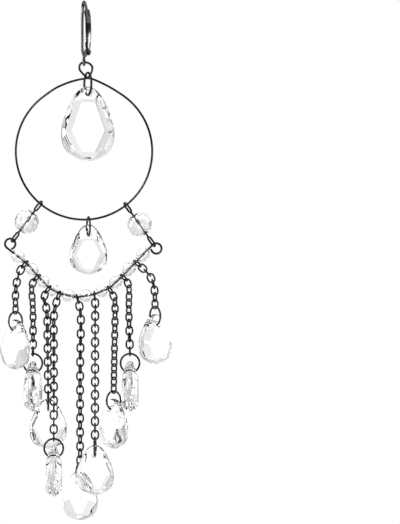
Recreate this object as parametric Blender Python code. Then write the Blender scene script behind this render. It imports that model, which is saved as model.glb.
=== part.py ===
"""Chandelier earring: a leverback ear wire, a wire hoop with a pear drop inside and one below it,
a beaded swag wire on two beaded pins, and nine chains with faceted pear drops.

Metres, +Z up. The origin is the crown of the ear wire, where the earring hangs in the ear.
The front of the earring faces -Y.
"""

import math

import bmesh
import bpy
from mathutils import Matrix, Vector

MM = 0.001

# Clearances between pieces that hang in each other
CLEARANCE = 0.12 * MM
ROUND_SIDES = 10
WIRE_SIDES = 6
FINE_WIRE_SIDES = 5

# Leverback: the ear wire with its base, and the lever
EAR_WIRE = 0.75 * MM
LEVERBACK_HEIGHT = 12.3 * MM
LEVERBACK_DEPTH = 6.6 * MM
LEVERBACK_YAW = math.radians(10.0)
BASE_HEEL_RADIUS = 0.85 * MM
BASE_HEEL_DROP = 1.05 * MM
BASE_TONGUE_RADIUS = 0.50 * MM
BASE_SIDES = 12
TAIL_GAP = 0.17 * MM
RIVET_RADIUS = 0.30 * MM
RIVET_HEAD_RADIUS = 0.50 * MM
RIVET_HEAD = 0.20 * MM
HANGER_WIRE = 0.55 * MM
LEVER_WIDTH = 1.40 * MM
LEVER_FOOT_WIDTH = 1.10 * MM
LEVER_DEPTH = 0.95 * MM
LEVER_FOOT_DEPTH = 1.35 * MM
LEVER_SHEET = 0.20 * MM

# Hoop, bent from one wire whose ends cross into the eye
HOOP_RADIUS = 17.05 * MM
HOOP_WIRE = 0.55 * MM
HOOP_TOP_LEFT = math.radians(38.0)
HOOP_TOP_RIGHT = math.radians(33.0)
HOOP_STEPS = 36
EYE_HEIGHT = 3.9 * MM
EYE_WIDTH = 3.23 * MM
EYE_OFFSET = 0.95 * MM
EYE_STEPS = 2
HOOP_PEAK = 1.30 * MM

# Main drop in the hoop
MAIN_LINK_WIRE = 0.60 * MM
MAIN_LINK_RADIUS = 2.80 * MM
MAIN_LINK_YAW = math.radians(20.0)
MAIN_PEAR_WIDTH = 13.5 * MM
MAIN_PEAR_HEIGHT = 18.3 * MM
MAIN_PEAR_THICKNESS = 5.6 * MM
MAIN_PEAR_TIP = 2.0 * MM
MAIN_PEAR_TIP_ABOVE_HOLE = 1.60 * MM
MAIN_PEAR_TABLE_TOP = 0.20
MAIN_PEAR_YAW = math.radians(8.0)

# Small pears, on the chains and below the hoop
PEAR_WIDTH = 9.5 * MM
PEAR_HEIGHT = 12.3 * MM
PEAR_THICKNESS = 4.0 * MM
PEAR_TIP = 1.7 * MM
PEAR_TIP_ABOVE_HOLE = 2.40 * MM
PEAR_TABLE_TOP = 0.31
RING_WIRE = 0.50 * MM
RING_RADIUS = 2.375 * MM
SLEW = math.radians(6.0)
CENTRE_DROP_OFFSET = 1.12 * MM
CENTRE_RING_YAW = math.radians(11.0)
CENTRE_PEAR_YAW = math.radians(5.0)

# Side pins, from the hoop to the ends of the swag wire, each through one bead
PIN_WIRE = 0.50 * MM
PIN_LOOP_RADIUS = 0.80 * MM
PIN_LOOP_STRETCH = 1.20 * MM
PIN_LOOP_TURN = math.radians(25.0)
PIN_LOOP_STEPS = 10
SIDE_BEAD_LENGTH = 5.6 * MM
SIDE_BEAD_RADIUS = 3.1 * MM
SIDE_BEAD_END = 1.3 * MM
SIDE_BEAD_WAIST = 0.40
PIN_LOOP_GAP = math.radians(38.0)
PIN_LOOP_SWEEP = math.radians(285.0)
PIN_NECK = {"along": 1.62, "front": 0.0}
PIN_BEND = {"along": 1.22, "front": 0.22}

# Swag wire and its beads
SWAG_WIRE = 0.50 * MM
EYELET_RADIUS = 1.30 * MM
EYELET_STEPS = 13
SWAG_BEAD_RADIUS = 1.66 * MM
SWAG_BEAD_END = 0.72 * MM
SWAG_BEAD_WAIST = 0.26
BEAD_GAP = 1.36 * MM

# Chain link
LINK_LENGTH = 2.73 * MM
LINK_WIDTH = 2.15 * MM
LINK_WIRE = 0.50 * MM
LINK_PLAY = 0.05 * MM
LINK_LEAST_PITCH = 1.60 * MM
TUBE_DIAMETER = 1.10 * MM
TUBE_SEAT = 0.28 * MM
TUBE_STEP = 4.0 * MM
TUBE_ROUNDNESS = 2
ROUTE_STEPS = 24

# Places in the earring's plane, chosen by eye: across from the hoop's middle and up from it, as
# shares of the hoop's radius
PIN_TOP_ANGLES = (math.radians(220.0), math.radians(142.0))
EYELET_PLACES = ((-1.0821, -1.3551), (1.0604, -1.4226))
STATIONS = (
    (-0.8493, -1.6355),
    (-0.6704, -1.8320),
    (-0.5120, -2.0003),
    (-0.3625, -2.0842),
    (-0.0997, -2.1399),
    (0.1525, -2.0941),
    (0.3666, -2.0091),
    (0.5630, -1.8320),
    (0.7595, -1.6267),
)

# Chains, from the swag wire down. The lean is the way that the first link hangs, in degrees from
# straight down towards +X. The route runs on from its station through points given across, back and
# up from the hoop's middle as shares of its radius, and its last point is the top of the jump ring.
CHAINS = (
    {"form": "links", "drop_turn": -42.0, "top_turn": 22.0, "lean": -37.0,
     "route": ((-0.9971, -0.0821, -2.0208),
               (-0.9971, -0.1466, -2.3493))},
    {"form": "links", "drop_turn": 84.0, "top_turn": 24.0, "lean": -37.0,
     "route": ((-0.7478, -0.0176, -2.3258),
               (-0.7478, -0.0293, -2.9651))},
    {"form": "links", "drop_turn": 4.0, "top_turn": 26.0, "lean": -30.0,
     "route": ((-0.5484, 0.0587, -2.3258),
               (-0.5396, 0.0938, -2.7364),
               (-0.5337, 0.1994, -3.5223))},
    {"form": "tube", "drop_turn": 90.0, "top_turn": 24.0, "lean": -18.0,
     "route": ((-0.4399, -0.0352, -2.4138),
               (-0.4399, -0.0528, -2.9710),
               (-0.4399, -0.1114, -4.2085))},
    {"form": "tube", "drop_turn": -22.0, "top_turn": -24.0, "lean": 14.0,
     "route": ((-0.0469, 0.0411, -2.5018),
               (-0.0587, 0.0704, -3.2056),
               (-0.0616, 0.1408, -4.5721))},
    {"form": "tube", "drop_turn": -3.0, "top_turn": 24.0, "lean": 5.0,
     "route": ((0.1642, -0.0411, -2.4431),
               (0.1642, -0.0645, -3.0296),
               (0.1642, -0.1349, -4.1850))},
    {"form": "links", "drop_turn": -46.0, "top_turn": -24.0, "lean": 30.0,
     "route": ((0.4545, 0.0528, -2.3258),
               (0.4457, 0.0645, -2.8537),
               (0.4340, 0.0762, -3.5164))},
    {"form": "links", "drop_turn": 88.0, "top_turn": 24.0, "lean": 36.0,
     "route": ((0.6569, -0.0176, -2.3258),
               (0.6745, -0.0352, -2.9651))},
    {"form": "links", "drop_turn": 34.0, "top_turn": -24.0, "lean": 49.0,
     "route": ((0.9736, -0.0117, -1.8331),
               (1.0323, -0.0293, -2.0091),
               (1.0411, -0.0469, -2.2730))},
)

# Shares of half the width and of the height, from the tip down, and of the thickness at the edge
PEAR_OUTLINE = (
    {"across": 0.17, "down": 0.00, "edge": 1.00},
    {"across": 0.48, "down": 0.10, "edge": 0.75},
    {"across": 0.77, "down": 0.30, "edge": 0.60},
    {"across": 0.95, "down": 0.49, "edge": 0.60},
    {"across": 1.00, "down": 0.63, "edge": 0.60},
    {"across": 0.95, "down": 0.76, "edge": 0.60},
    {"across": 0.73, "down": 0.89, "edge": 0.75},
    {"across": 0.40, "down": 0.965, "edge": 0.90},
    {"across": 0.12, "down": 1.00, "edge": 1.00},
)

# The table of the stone, and the row of facets between it and the edge, as the same shares.
# A row without a "down" takes the table's own top.
TABLE_CORNERS = (
    {"across": 0.28, "down": None},
    {"across": 0.64, "down": 0.59},
    {"across": 0.44, "down": 0.79},
)
FACET_CORNERS = (
    {"across": 0.60, "down": 0.38, "height": 0.72},
    {"across": 0.86, "down": 0.62, "height": 0.60},
    {"across": 0.60, "down": 0.85, "height": 0.48},
    {"across": 0.20, "down": 0.93, "height": 0.42},
)

# Leverback curves as shares of its depth and height, from the crown
LEVER_LINE = (
    {"back": 0.545, "down": 0.156},
    {"back": 0.700, "down": 0.240},
    {"back": 0.812, "down": 0.378},
    {"back": 0.842, "down": 0.575},
    {"back": 0.790, "down": 0.780},
    {"back": 0.720, "down": 0.930},
    {"back": 0.720, "down": 1.062},
)
LEVER_FOOT_ROWS = 2
EAR_WIRE_LINE = (
    {"back": 0.385, "down": 0.098},
    {"back": 0.240, "down": 0.040},
    {"back": 0.120, "down": 0.009},
    {"back": 0.000, "down": 0.000},
    {"back": -0.110, "down": 0.016},
    {"back": -0.200, "down": 0.060},
    {"back": -0.265, "down": 0.135},
    {"back": -0.300, "down": 0.240},
    {"back": -0.312, "down": 0.420},
    {"back": -0.312, "down": 0.700},
    {"back": -0.303, "down": 0.900},
    {"back": -0.255, "down": 0.995},
    {"back": -0.160, "down": 1.050},
    {"back": -0.050, "down": 1.078},
)
PIVOT_SHARE = {"back": 0.697, "down": 1.000}
TAIL_STEPS = 3
TAIL_SHARE = 0.35

# The eye and the drawn-up top of the hoop: across from the crossing and up from it, as shares
# of the eye's width and height, and how far the strand lies to the front (-1) or back (+1)
EYE_LINE = (
    {"across": -2.95, "up": -0.90, "side": 0.0},
    {"across": -2.45, "up": -0.63, "side": 0.0},
    {"across": -1.84, "up": -0.40, "side": 0.0},
    {"across": -1.24, "up": -0.22, "side": 0.0},
    {"across": -0.62, "up": -0.09, "side": -0.3},
    {"across": -0.04, "up": -0.01, "side": -1.0},
    {"across": 0.17, "up": 0.19, "side": -0.6},
    {"across": 0.32, "up": 0.45, "side": 0.0},
    {"across": 0.34, "up": 0.71, "side": 0.0},
    {"across": 0.17, "up": 0.90, "side": 0.0},
    {"across": -0.12, "up": 1.00, "side": 0.0},
    {"across": -0.47, "up": 0.97, "side": 0.0},
    {"across": -0.64, "up": 0.78, "side": 0.0},
    {"across": -0.63, "up": 0.54, "side": 0.0},
    {"across": -0.45, "up": 0.34, "side": 0.2},
    {"across": -0.23, "up": 0.15, "side": 0.7},
    {"across": 0.03, "up": 0.00, "side": 1.0},
    {"across": 0.42, "up": -0.08, "side": 0.5},
    {"across": 0.95, "up": -0.27, "side": 0.0},
    {"across": 1.49, "up": -0.49, "side": 0.0},
    {"across": 1.98, "up": -0.72, "side": 0.0},
)

X_AXIS = Vector((1.0, 0.0, 0.0))
Y_AXIS = Vector((0.0, 1.0, 0.0))
Z_AXIS = Vector((0.0, 0.0, 1.0))
ORIGIN = Vector((0.0, 0.0, 0.0))


# Scene and materials

def clear_scene():
    """Remove every object that the file holds."""
    for thing in list(bpy.data.objects):
        bpy.data.objects.remove(thing, do_unlink=True)


def make_material(name, colour, metallic, roughness, transmission):
    """A Principled material with a plain colour."""
    material = bpy.data.materials.new(name)
    material.use_nodes = True
    shader = material.node_tree.nodes["Principled BSDF"]
    shader.inputs["Base Color"].default_value = (*colour, 1.0)
    shader.inputs["Metallic"].default_value = metallic
    shader.inputs["Roughness"].default_value = roughness
    shader.inputs["Transmission Weight"].default_value = transmission
    return material


def make_object(name, mesh, material, matrix=None):
    """Put a mesh into the scene under a name, with a material."""
    thing = bpy.data.objects.new(name, mesh)
    bpy.context.scene.collection.objects.link(thing)
    thing.matrix_world = matrix or Matrix.Identity(4)
    if material and not mesh.materials:
        mesh.materials.append(material)
    return thing


def finish_mesh(name, bm, smooth_angle=None):
    """Turn a bmesh into a mesh, with its faces pointing out."""
    bmesh.ops.recalc_face_normals(bm, faces=bm.faces)
    mesh = bpy.data.meshes.new(name)
    bm.to_mesh(mesh)
    bm.free()
    if smooth_angle is not None:
        mesh.shade_smooth()
        mesh.set_sharp_from_angle(angle=smooth_angle)
    return mesh


def boolean(target, tool, operation):
    """Apply one exact Boolean to the target and remove the tool."""
    modifier = target.modifiers.new(operation.lower(), "BOOLEAN")
    modifier.operation = operation
    modifier.solver = "EXACT"
    modifier.object = tool
    bpy.context.view_layer.update()
    graph = bpy.context.evaluated_depsgraph_get()
    mesh = bpy.data.meshes.new_from_object(target.evaluated_get(graph))
    target.modifiers.clear()
    target.data = mesh
    bpy.data.objects.remove(tool, do_unlink=True)
    return target


# Wires

def smooth_line(points, steps, closed=False):
    """Points along a Catmull-Rom curve through the given ones."""
    count = len(points)
    spans = count if closed else count - 1
    line = []
    for index in range(spans):
        before = points[(index - 1) % count] if closed or index > 0 else points[0]
        start = points[index]
        end = points[(index + 1) % count]
        after = points[(index + 2) % count] if closed or index + 2 < count else points[-1]
        for step in range(steps):
            t = step / steps
            line.append(0.5 * (2.0 * start + (end - before) * t
                               + (2.0 * before - 5.0 * start + 4.0 * end - after) * t * t
                               + (3.0 * start - before - 3.0 * end + after) * t ** 3))
    if not closed:
        line.append(points[-1].copy())
    return line


def sweep_wire(bm, points, normal, radius, sides, closed):
    """Sweep a round wire along a line that lies in or near the plane of the normal."""
    count = len(points)
    rings = []
    for index, point in enumerate(points):
        before = points[index - 1] if closed or index > 0 else None
        after = points[(index + 1) % count] if closed or index + 1 < count else None
        incoming = (point - before).normalized() if before is not None else None
        outgoing = (after - point).normalized() if after is not None else None
        if incoming is None:
            incoming = outgoing
        if outgoing is None:
            outgoing = incoming
        along = (incoming + outgoing).normalized()
        outward = along.cross(normal).normalized()
        across = outward.cross(along).normalized()
        miter = 1.0 / max(along.dot(outgoing), 0.5)
        ring = []
        for side in range(sides):
            angle = 2.0 * math.pi * side / sides
            offset = outward * (radius * miter * math.cos(angle)) + across * (radius * math.sin(angle))
            ring.append(bm.verts.new(point + offset))
        rings.append(ring)
    spans = count if closed else count - 1
    quads = []
    for index in range(spans):
        ring, following = rings[index], rings[(index + 1) % count]
        strip = []
        for side in range(sides):
            turn = (side + 1) % sides
            strip.append(bm.faces.new((ring[side], ring[turn], following[turn], following[side])))
        quads.append(strip)
    if not closed:
        bm.faces.new(rings[0])
        bm.faces.new(rings[-1])
    return quads


def wire_mesh(name, points, normal, diameter, sides, closed):
    """A mesh of one wire."""
    bm = bmesh.new()
    sweep_wire(bm, points, normal, diameter / 2.0, sides, closed)
    return finish_mesh(name, bm, math.radians(50.0))


def circle_points(centre, first, second, radius, count):
    """Corners of a full turn, in the plane of two axes."""
    step = 2.0 * math.pi / count
    return [centre + (first * math.cos(step * index) + second * math.sin(step * index)) * radius
            for index in range(count)]


def ring_points(centre, first, second, radius, count):
    """Corners of a ring whose flats lie at the radius, with one flat straight along the second axis."""
    step = 2.0 * math.pi / count
    corner = radius / math.cos(step / 2.0)
    start = math.pi / 2.0 + step / 2.0
    return [centre + (first * math.cos(start + step * index)
                      + second * math.sin(start + step * index)) * corner for index in range(count)]


def arc_points(centre, first, second, radius, count, start, sweep):
    """Points on part of a circle, in the plane of two axes, both ends among them."""
    points = []
    for index in range(count):
        angle = start + sweep * index / (count - 1)
        points.append(centre + (first * math.cos(angle) + second * math.sin(angle)) * radius)
    return points


def flat_radius(diameter, sides):
    """The distance from a meshed wire's centre to the middle of its flats."""
    return diameter / 2.0 * math.cos(math.pi / sides)


def hull_mesh(name, points, smooth_angle=None):
    """The convex solid round some points."""
    bm = bmesh.new()
    for point in points:
        bm.verts.new(point / MM)
    result = bmesh.ops.convex_hull(bm, input=bm.verts)
    spare = {item for item in result["geom_interior"] + result["geom_unused"]
             if isinstance(item, bmesh.types.BMVert)}
    bmesh.ops.delete(bm, geom=list(spare), context="VERTS")
    bmesh.ops.transform(bm, matrix=Matrix.Scale(MM, 4), verts=bm.verts)
    return finish_mesh(name, bm, smooth_angle)


def cylinder_tool(centre, axis, radius, length, sides=ROUND_SIDES):
    """A plain cylinder to cut or join with."""
    first = axis.orthogonal().normalized()
    second = axis.cross(first).normalized()
    points = []
    for end in (-0.5, 0.5):
        points += circle_points(centre + axis * (length * end), first, second, radius, sides)
    return make_object("tool", hull_mesh("tool", points), None)


# Leverback

def leverback_axes():
    """Back along the leverback, and across it."""
    back = Vector((math.sin(LEVERBACK_YAW), math.cos(LEVERBACK_YAW), 0.0))
    return back, back.cross(Z_AXIS)


def leverback_point(row):
    """A point of the leverback's plane from a row of shares."""
    back, _ = leverback_axes()
    return back * (row["back"] * LEVERBACK_DEPTH) - Z_AXIS * (row["down"] * LEVERBACK_HEIGHT)


def lever_line():
    """The middle of the lever's channel, from its top to its foot."""
    return [leverback_point(row) for row in LEVER_LINE]


def line_normal(line, index, across):
    """The direction square to a line at one of its points, towards the inside of the leverback."""
    before = line[max(index - 1, 0)]
    after = line[min(index + 1, len(line) - 1)]
    return across.cross(after - before).normalized()


def lever_inside(line, index):
    """Towards the lever's open side at one of the points of its line."""
    back, across = leverback_axes()
    normal = line_normal(line, index, across)
    return -normal if normal.dot(back) > 0.0 else normal


def ear_wire_line():
    """The ear wire's middle: from its tail in the lever, over the crown and down to the heel."""
    line = lever_line()
    inset = LEVER_SHEET + TAIL_GAP + EAR_WIRE / 2.0 - LEVER_DEPTH / 2.0
    tail = [line[index] + lever_inside(line, index) * inset for index in range(TAIL_STEPS)]
    tail[-1] = tail[-2].lerp(tail[-1], TAIL_SHARE)
    return list(reversed(tail)) + [leverback_point(row) for row in EAR_WIRE_LINE]


def pivot_point():
    """The middle of the rivet that the lever turns on."""
    return leverback_point(PIVOT_SHARE)


def heel_point():
    """The middle of the base's round heel, under the crown."""
    return -Z_AXIS * (LEVERBACK_HEIGHT + BASE_HEEL_DROP)


def hanger_radius():
    """The hanger's radius to the middle of its wire: it takes the hoop's wire with room."""
    return HOOP_WIRE / 2.0 + HANGER_WIRE / 2.0 + 2.0 * CLEARANCE


def hanger_centre():
    """The middle of the ring under the base, which is soldered to the heel."""
    return heel_point() - Z_AXIS * (BASE_HEEL_RADIUS + hanger_radius())


def base_half_width():
    """Half the base's thickness: it stands between the foot's side walls with room."""
    return LEVER_FOOT_WIDTH / 2.0 - LEVER_SHEET - CLEARANCE


def build_ear_wire(metal):
    """Ear wire, base, rivet and hanger ring: soldered into one solid."""
    back, across = leverback_axes()
    line = smooth_line(ear_wire_line(), 2)
    mesh = wire_mesh("ear_wire", line, across, EAR_WIRE, WIRE_SIDES, False)
    thing = make_object("ear_wire", mesh, metal)

    points = []
    for side in (-base_half_width(), base_half_width()):
        points += circle_points(heel_point() + across * side, back, Z_AXIS, BASE_HEEL_RADIUS, BASE_SIDES)
        points += circle_points(pivot_point() + across * side, back, Z_AXIS, BASE_TONGUE_RADIUS, BASE_SIDES)
    boolean(thing, make_object("tool", hull_mesh("tool", points), None), "UNION")

    ring = ring_points(hanger_centre(), back, Z_AXIS, hanger_radius(), ROUND_SIDES)
    hanger = wire_mesh("tool", ring, across, HANGER_WIRE, WIRE_SIDES, True)
    boolean(thing, make_object("tool", hanger, None), "UNION")

    shaft = LEVER_FOOT_WIDTH + 2.0 * CLEARANCE
    boolean(thing, cylinder_tool(pivot_point(), across, RIVET_RADIUS, shaft + RIVET_HEAD), "UNION")
    for side in (-1.0, 1.0):
        head = pivot_point() + across * (side * (shaft + RIVET_HEAD) / 2.0)
        boolean(thing, cylinder_tool(head, across, RIVET_HEAD_RADIUS, RIVET_HEAD), "UNION")
    thing.data.name = "ear_wire"
    thing.data.materials.clear()
    thing.data.materials.append(metal)
    return thing


def build_lever(metal):
    """The lever: a channel that shuts over the ear wire's tail and turns on the rivet."""
    back, across = leverback_axes()
    line = lever_line()
    bm = bmesh.new()
    rings = []
    for index, point in enumerate(line):
        inside = lever_inside(line, index)
        foot = index >= len(line) - LEVER_FOOT_ROWS
        depth = LEVER_FOOT_DEPTH if foot else LEVER_DEPTH
        half = (LEVER_FOOT_WIDTH if foot else LEVER_WIDTH) / 2.0
        inner = half - LEVER_SHEET
        web = -depth / 2.0
        mouth = depth / 2.0
        profile = ((-half, mouth), (-half, web), (half, web), (half, mouth),
                   (inner, mouth), (inner, web + LEVER_SHEET), (-inner, web + LEVER_SHEET), (-inner, mouth))
        rings.append([bm.verts.new(point + across * side + inside * deep) for side, deep in profile])
    for ring, following in zip(rings, rings[1:]):
        for index in range(len(ring)):
            turn = (index + 1) % len(ring)
            bm.faces.new((ring[index], ring[turn], following[turn], following[index]))
    for ring in (rings[0], rings[-1]):
        bm.faces.new((ring[0], ring[1], ring[6], ring[7]))
        bm.faces.new((ring[1], ring[2], ring[5], ring[6]))
        bm.faces.new((ring[2], ring[3], ring[4], ring[5]))
    thing = make_object("lever", finish_mesh("lever", bm, math.radians(40.0)), metal)
    bore = cylinder_tool(pivot_point(), across, RIVET_RADIUS + CLEARANCE, 2.0 * LEVER_WIDTH)
    boolean(thing, bore, "DIFFERENCE")
    thing.data.name = "lever"
    thing.data.materials.clear()
    thing.data.materials.append(metal)
    return thing


# Hoop

def eye_top():
    """The height of the eye's wire where it hangs in the hanger ring."""
    hanger_bottom = hanger_centre().z - hanger_radius()
    return hanger_bottom + HANGER_WIRE / 2.0 + HOOP_WIRE / 2.0 + CLEARANCE


def crossing_point():
    """Where the hoop's wire crosses itself under the eye."""
    return Vector((EYE_OFFSET, 0.0, eye_top() - EYE_HEIGHT))


def hoop_centre():
    """The middle of the round hoop; its peak lies just above the circle's own top."""
    return Vector((0.0, 0.0, crossing_point().z - HOOP_PEAK - HOOP_RADIUS))


def hoop_point(angle):
    """A point on the round part of the hoop, by its angle from the top, towards +X."""
    return hoop_centre() + Vector((math.sin(angle), 0.0, math.cos(angle))) * HOOP_RADIUS


def hoop_line():
    """The closed line of the hoop's wire."""
    crossing = crossing_point()
    strand = HOOP_WIRE / 2.0 + CLEARANCE / 2.0
    top = []
    for row in EYE_LINE:
        offset = Vector((row["across"] * EYE_WIDTH, row["side"] * strand, row["up"] * EYE_HEIGHT))
        top.append(crossing + offset)
    step = (2.0 * math.pi - HOOP_TOP_LEFT - HOOP_TOP_RIGHT) / HOOP_STEPS
    before = [hoop_point(-HOOP_TOP_LEFT - step), hoop_point(-HOOP_TOP_LEFT)]
    after = [hoop_point(HOOP_TOP_RIGHT), hoop_point(HOOP_TOP_RIGHT + step)]
    upper = smooth_line(before + top + after, EYE_STEPS)[EYE_STEPS:-EYE_STEPS]
    lower = [hoop_point(HOOP_TOP_RIGHT + step * index) for index in range(1, HOOP_STEPS)]
    return upper + lower


def build_hoop(metal):
    """The hoop and its eye, one closed wire."""
    mesh = wire_mesh("hoop", hoop_line(), Y_AXIS, HOOP_WIRE, WIRE_SIDES, True)
    return make_object("hoop", mesh, metal)


# Stones

def wire_rise(radius, half_thickness):
    """How far a ring's wire rises from the ring's bottom to the faces of the stone on it."""
    return radius - math.sqrt(max(radius ** 2 - half_thickness ** 2, 0.0))


def pear_shape(width, height, thickness, tip, tip_above_hole, table_top, ring_radius, ring_wire):
    """The sizes of a pear-shaped stone and its hole, in one bundle."""
    share = tip_above_hole / (height * table_top)
    half = tip / 2.0 + (thickness - tip) / 2.0 * min(share, 1.0)
    rise = wire_rise(ring_radius, half)
    slew = half * math.tan(SLEW)
    bore = math.hypot(rise / 2.0, slew) + ring_wire / 2.0 + CLEARANCE
    return {"width": width, "height": height, "thickness": thickness, "tip": tip,
            "tip_above_hole": tip_above_hole, "table_top": table_top,
            "bore": bore / math.cos(math.pi / ROUND_SIDES), "lift": rise / 2.0}


def pear_mesh(name, shape, material):
    """A faceted pear with a table on both faces. The origin is the middle of its hole."""
    half_width = shape["width"] / 2.0
    half_deep = shape["thickness"] / 2.0
    edge_half = shape["tip"] / 2.0

    def place(row, deep):
        down = shape["table_top"] if row["down"] is None else row["down"]
        drop = shape["tip_above_hole"] - down * shape["height"]
        return [Vector((side * row["across"] * half_width, front * deep, drop))
                for side in (-1.0, 1.0) for front in (-1.0, 1.0)]

    points = []
    for row in PEAR_OUTLINE:
        points += place(row, row["edge"] * edge_half)
    for row in TABLE_CORNERS:
        points += place(row, half_deep)
    for row in FACET_CORNERS:
        points += place(row, edge_half + (half_deep - edge_half) * row["height"])
    stone = make_object("stone", hull_mesh(name, points), material)
    boolean(stone, cylinder_tool(ORIGIN, Y_AXIS, shape["bore"], 2.0 * shape["thickness"]), "DIFFERENCE")
    mesh = stone.data
    mesh.name = name
    mesh.materials.clear()
    mesh.materials.append(material)
    bpy.data.objects.remove(stone, do_unlink=True)
    return mesh


def main_shape():
    """The big pear that hangs inside the hoop."""
    return pear_shape(MAIN_PEAR_WIDTH, MAIN_PEAR_HEIGHT, MAIN_PEAR_THICKNESS, MAIN_PEAR_TIP,
                      MAIN_PEAR_TIP_ABOVE_HOLE, MAIN_PEAR_TABLE_TOP, MAIN_LINK_RADIUS, MAIN_LINK_WIRE)


def small_shape():
    """The small pears of the chains and below the hoop."""
    return pear_shape(PEAR_WIDTH, PEAR_HEIGHT, PEAR_THICKNESS, PEAR_TIP,
                      PEAR_TIP_ABOVE_HOLE, PEAR_TABLE_TOP, RING_RADIUS, RING_WIRE)


def bead_mesh(name, length, radius, end_radius, bore_radius, waist, material):
    """A faceted round bead with a bore along X. Every second ring is turned half a step."""
    bm = bmesh.new()
    half = length / 2.0
    rows = ((-half, bore_radius, 0.0), (-half, end_radius, 0.0), (-half * waist, radius, 0.5),
            (half * waist, radius, 0.0), (half, end_radius, 0.5), (half, bore_radius, 0.5))
    rings = []
    for along, distance, turn in rows:
        ring = []
        for index in range(ROUND_SIDES):
            angle = 2.0 * math.pi * (index + turn) / ROUND_SIDES
            ring.append(bm.verts.new((along, distance * math.cos(angle), distance * math.sin(angle))))
        rings.append(ring)
    for number, ring in enumerate(rings):
        after = (number + 1) % len(rings)
        following = rings[after]
        shift = rows[after][2] - rows[number][2]
        for index in range(ROUND_SIDES):
            turn = (index + 1) % ROUND_SIDES
            if shift < 0.0:
                bm.faces.new((ring[index], following[turn], following[index]))
                bm.faces.new((ring[index], ring[turn], following[turn]))
            else:
                bm.faces.new((ring[index], ring[turn], following[index]))
                bm.faces.new((ring[turn], following[turn], following[index]))
    mesh = finish_mesh(name, bm)
    mesh.materials.append(material)
    return mesh


def turned(matrix_yaw):
    """A turn about the vertical."""
    return Matrix.Rotation(matrix_yaw, 4, "Z")


def hang_ring_and_pear(names, top, ring_yaw, pear_yaw, sizes, mesh, metal):
    """A jump ring whose wire's highest point is given, and the pear that hangs on it."""
    radius, wire, shape = sizes
    centre = top - Z_AXIS * radius
    plane = turned(ring_yaw) @ Y_AXIS
    normal = turned(ring_yaw) @ X_AXIS
    points = ring_points(centre, plane, Z_AXIS, radius, ROUND_SIDES)
    make_object(names[0], wire_mesh(names[0], points, normal, wire, FINE_WIRE_SIDES, True), metal)
    hole = centre - Z_AXIS * (radius - shape["lift"])
    pear = bpy.data.objects.new(names[1], mesh)
    bpy.context.scene.collection.objects.link(pear)
    pear.matrix_world = Matrix.Translation(hole) @ turned(pear_yaw)
    return hole


def build_main_drop(metal, crystal):
    """The link round the hoop's crossing and the big pear on it."""
    shape = main_shape()
    top = crossing_point() + Z_AXIS * (HOOP_WIRE + 4.0 * CLEARANCE + MAIN_LINK_WIRE / 2.0)
    hang_ring_and_pear(("main_drop_link", "main_drop"), top, MAIN_LINK_YAW, MAIN_PEAR_YAW,
                       (MAIN_LINK_RADIUS, MAIN_LINK_WIRE, shape),
                       pear_mesh("main_drop", shape, crystal), metal)


def build_centre_drop(metal, small_pear):
    """The small pear that hangs from the bottom of the hoop."""
    angle = math.pi - math.asin(CENTRE_DROP_OFFSET / HOOP_RADIUS)
    top = hoop_point(angle) + Z_AXIS * (HOOP_WIRE / 2.0 + RING_WIRE / 2.0 + CLEARANCE)
    hang_ring_and_pear(("centre_drop_link", "centre_drop"), top, CENTRE_RING_YAW, CENTRE_PEAR_YAW,
                       (RING_RADIUS, RING_WIRE, small_shape()), small_pear, metal)


# Swag wire, pins and beads

def plane_point(place):
    """A point of the earring's plane from its place in shares of the hoop's radius."""
    return hoop_centre() + Vector((place[0], 0.0, place[1])) * HOOP_RADIUS


def eyelet_centre(index):
    """The middle of one of the swag wire's end eyelets."""
    return plane_point(EYELET_PLACES[index])


def eyelet_tangent(index):
    """Where the swag wire leaves an eyelet: a straight line that touches its circle."""
    station = plane_point(STATIONS[0] if index == 0 else STATIONS[-1])
    centre = eyelet_centre(index)
    away = station - centre
    distance = away.length
    heading = math.atan2(away.z, away.x)
    opening = math.acos(EYELET_RADIUS / distance)
    turn = heading - opening
    return centre + Vector((math.cos(turn), 0.0, math.sin(turn))) * EYELET_RADIUS, turn


def eyelet_line(index):
    """The round of an eyelet, from its free end to where the straight wire leaves it."""
    _, turn = eyelet_tangent(index)
    gap = 2.0 * math.asin(math.sqrt((SWAG_WIRE + CLEARANCE) / (2.0 * EYELET_RADIUS)))
    return arc_points(eyelet_centre(index), X_AXIS, Z_AXIS, EYELET_RADIUS, EYELET_STEPS,
                      turn + gap - 2.0 * math.pi, 2.0 * math.pi - gap)


def swag_corners():
    """The points that the swag wire runs through between its eyelets."""
    return [eyelet_tangent(0)[0]] + [plane_point(place) for place in STATIONS] + [eyelet_tangent(1)[0]]


def bead_span(index):
    """The two ends of a swag bead, on the straight stretch between two stations."""
    corners = swag_corners()
    start, end = corners[index], corners[index + 1]
    along = (end - start).normalized()
    by_eyelet = EYELET_RADIUS + SWAG_WIRE / 2.0 + CLEARANCE
    first = by_eyelet if index == 0 else BEAD_GAP / 2.0
    last = by_eyelet if index == len(corners) - 2 else BEAD_GAP / 2.0
    return start + along * first, end - along * last


def build_swag_wire(metal):
    """The swag wire, straight through each bead and bent at each chain, with an eyelet at each end."""
    corners = swag_corners()
    line = []
    for index in range(1, len(corners) - 1):
        corner = corners[index]
        before = (corners[index - 1] - corner).normalized()
        after = (corners[index + 1] - corner).normalized()
        reach = BEAD_GAP / 2.0
        for t in (0.0, 0.5, 1.0):
            line.append((corner + before * reach) * (1.0 - t) ** 2 + corner * (2.0 * t * (1.0 - t))
                        + (corner + after * reach) * t ** 2)
    points = eyelet_line(0) + line + list(reversed(eyelet_line(1)))
    mesh = wire_mesh("swag_wire", points, Y_AXIS, SWAG_WIRE, FINE_WIRE_SIDES, False)
    return make_object("swag_wire", mesh, metal)


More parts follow.
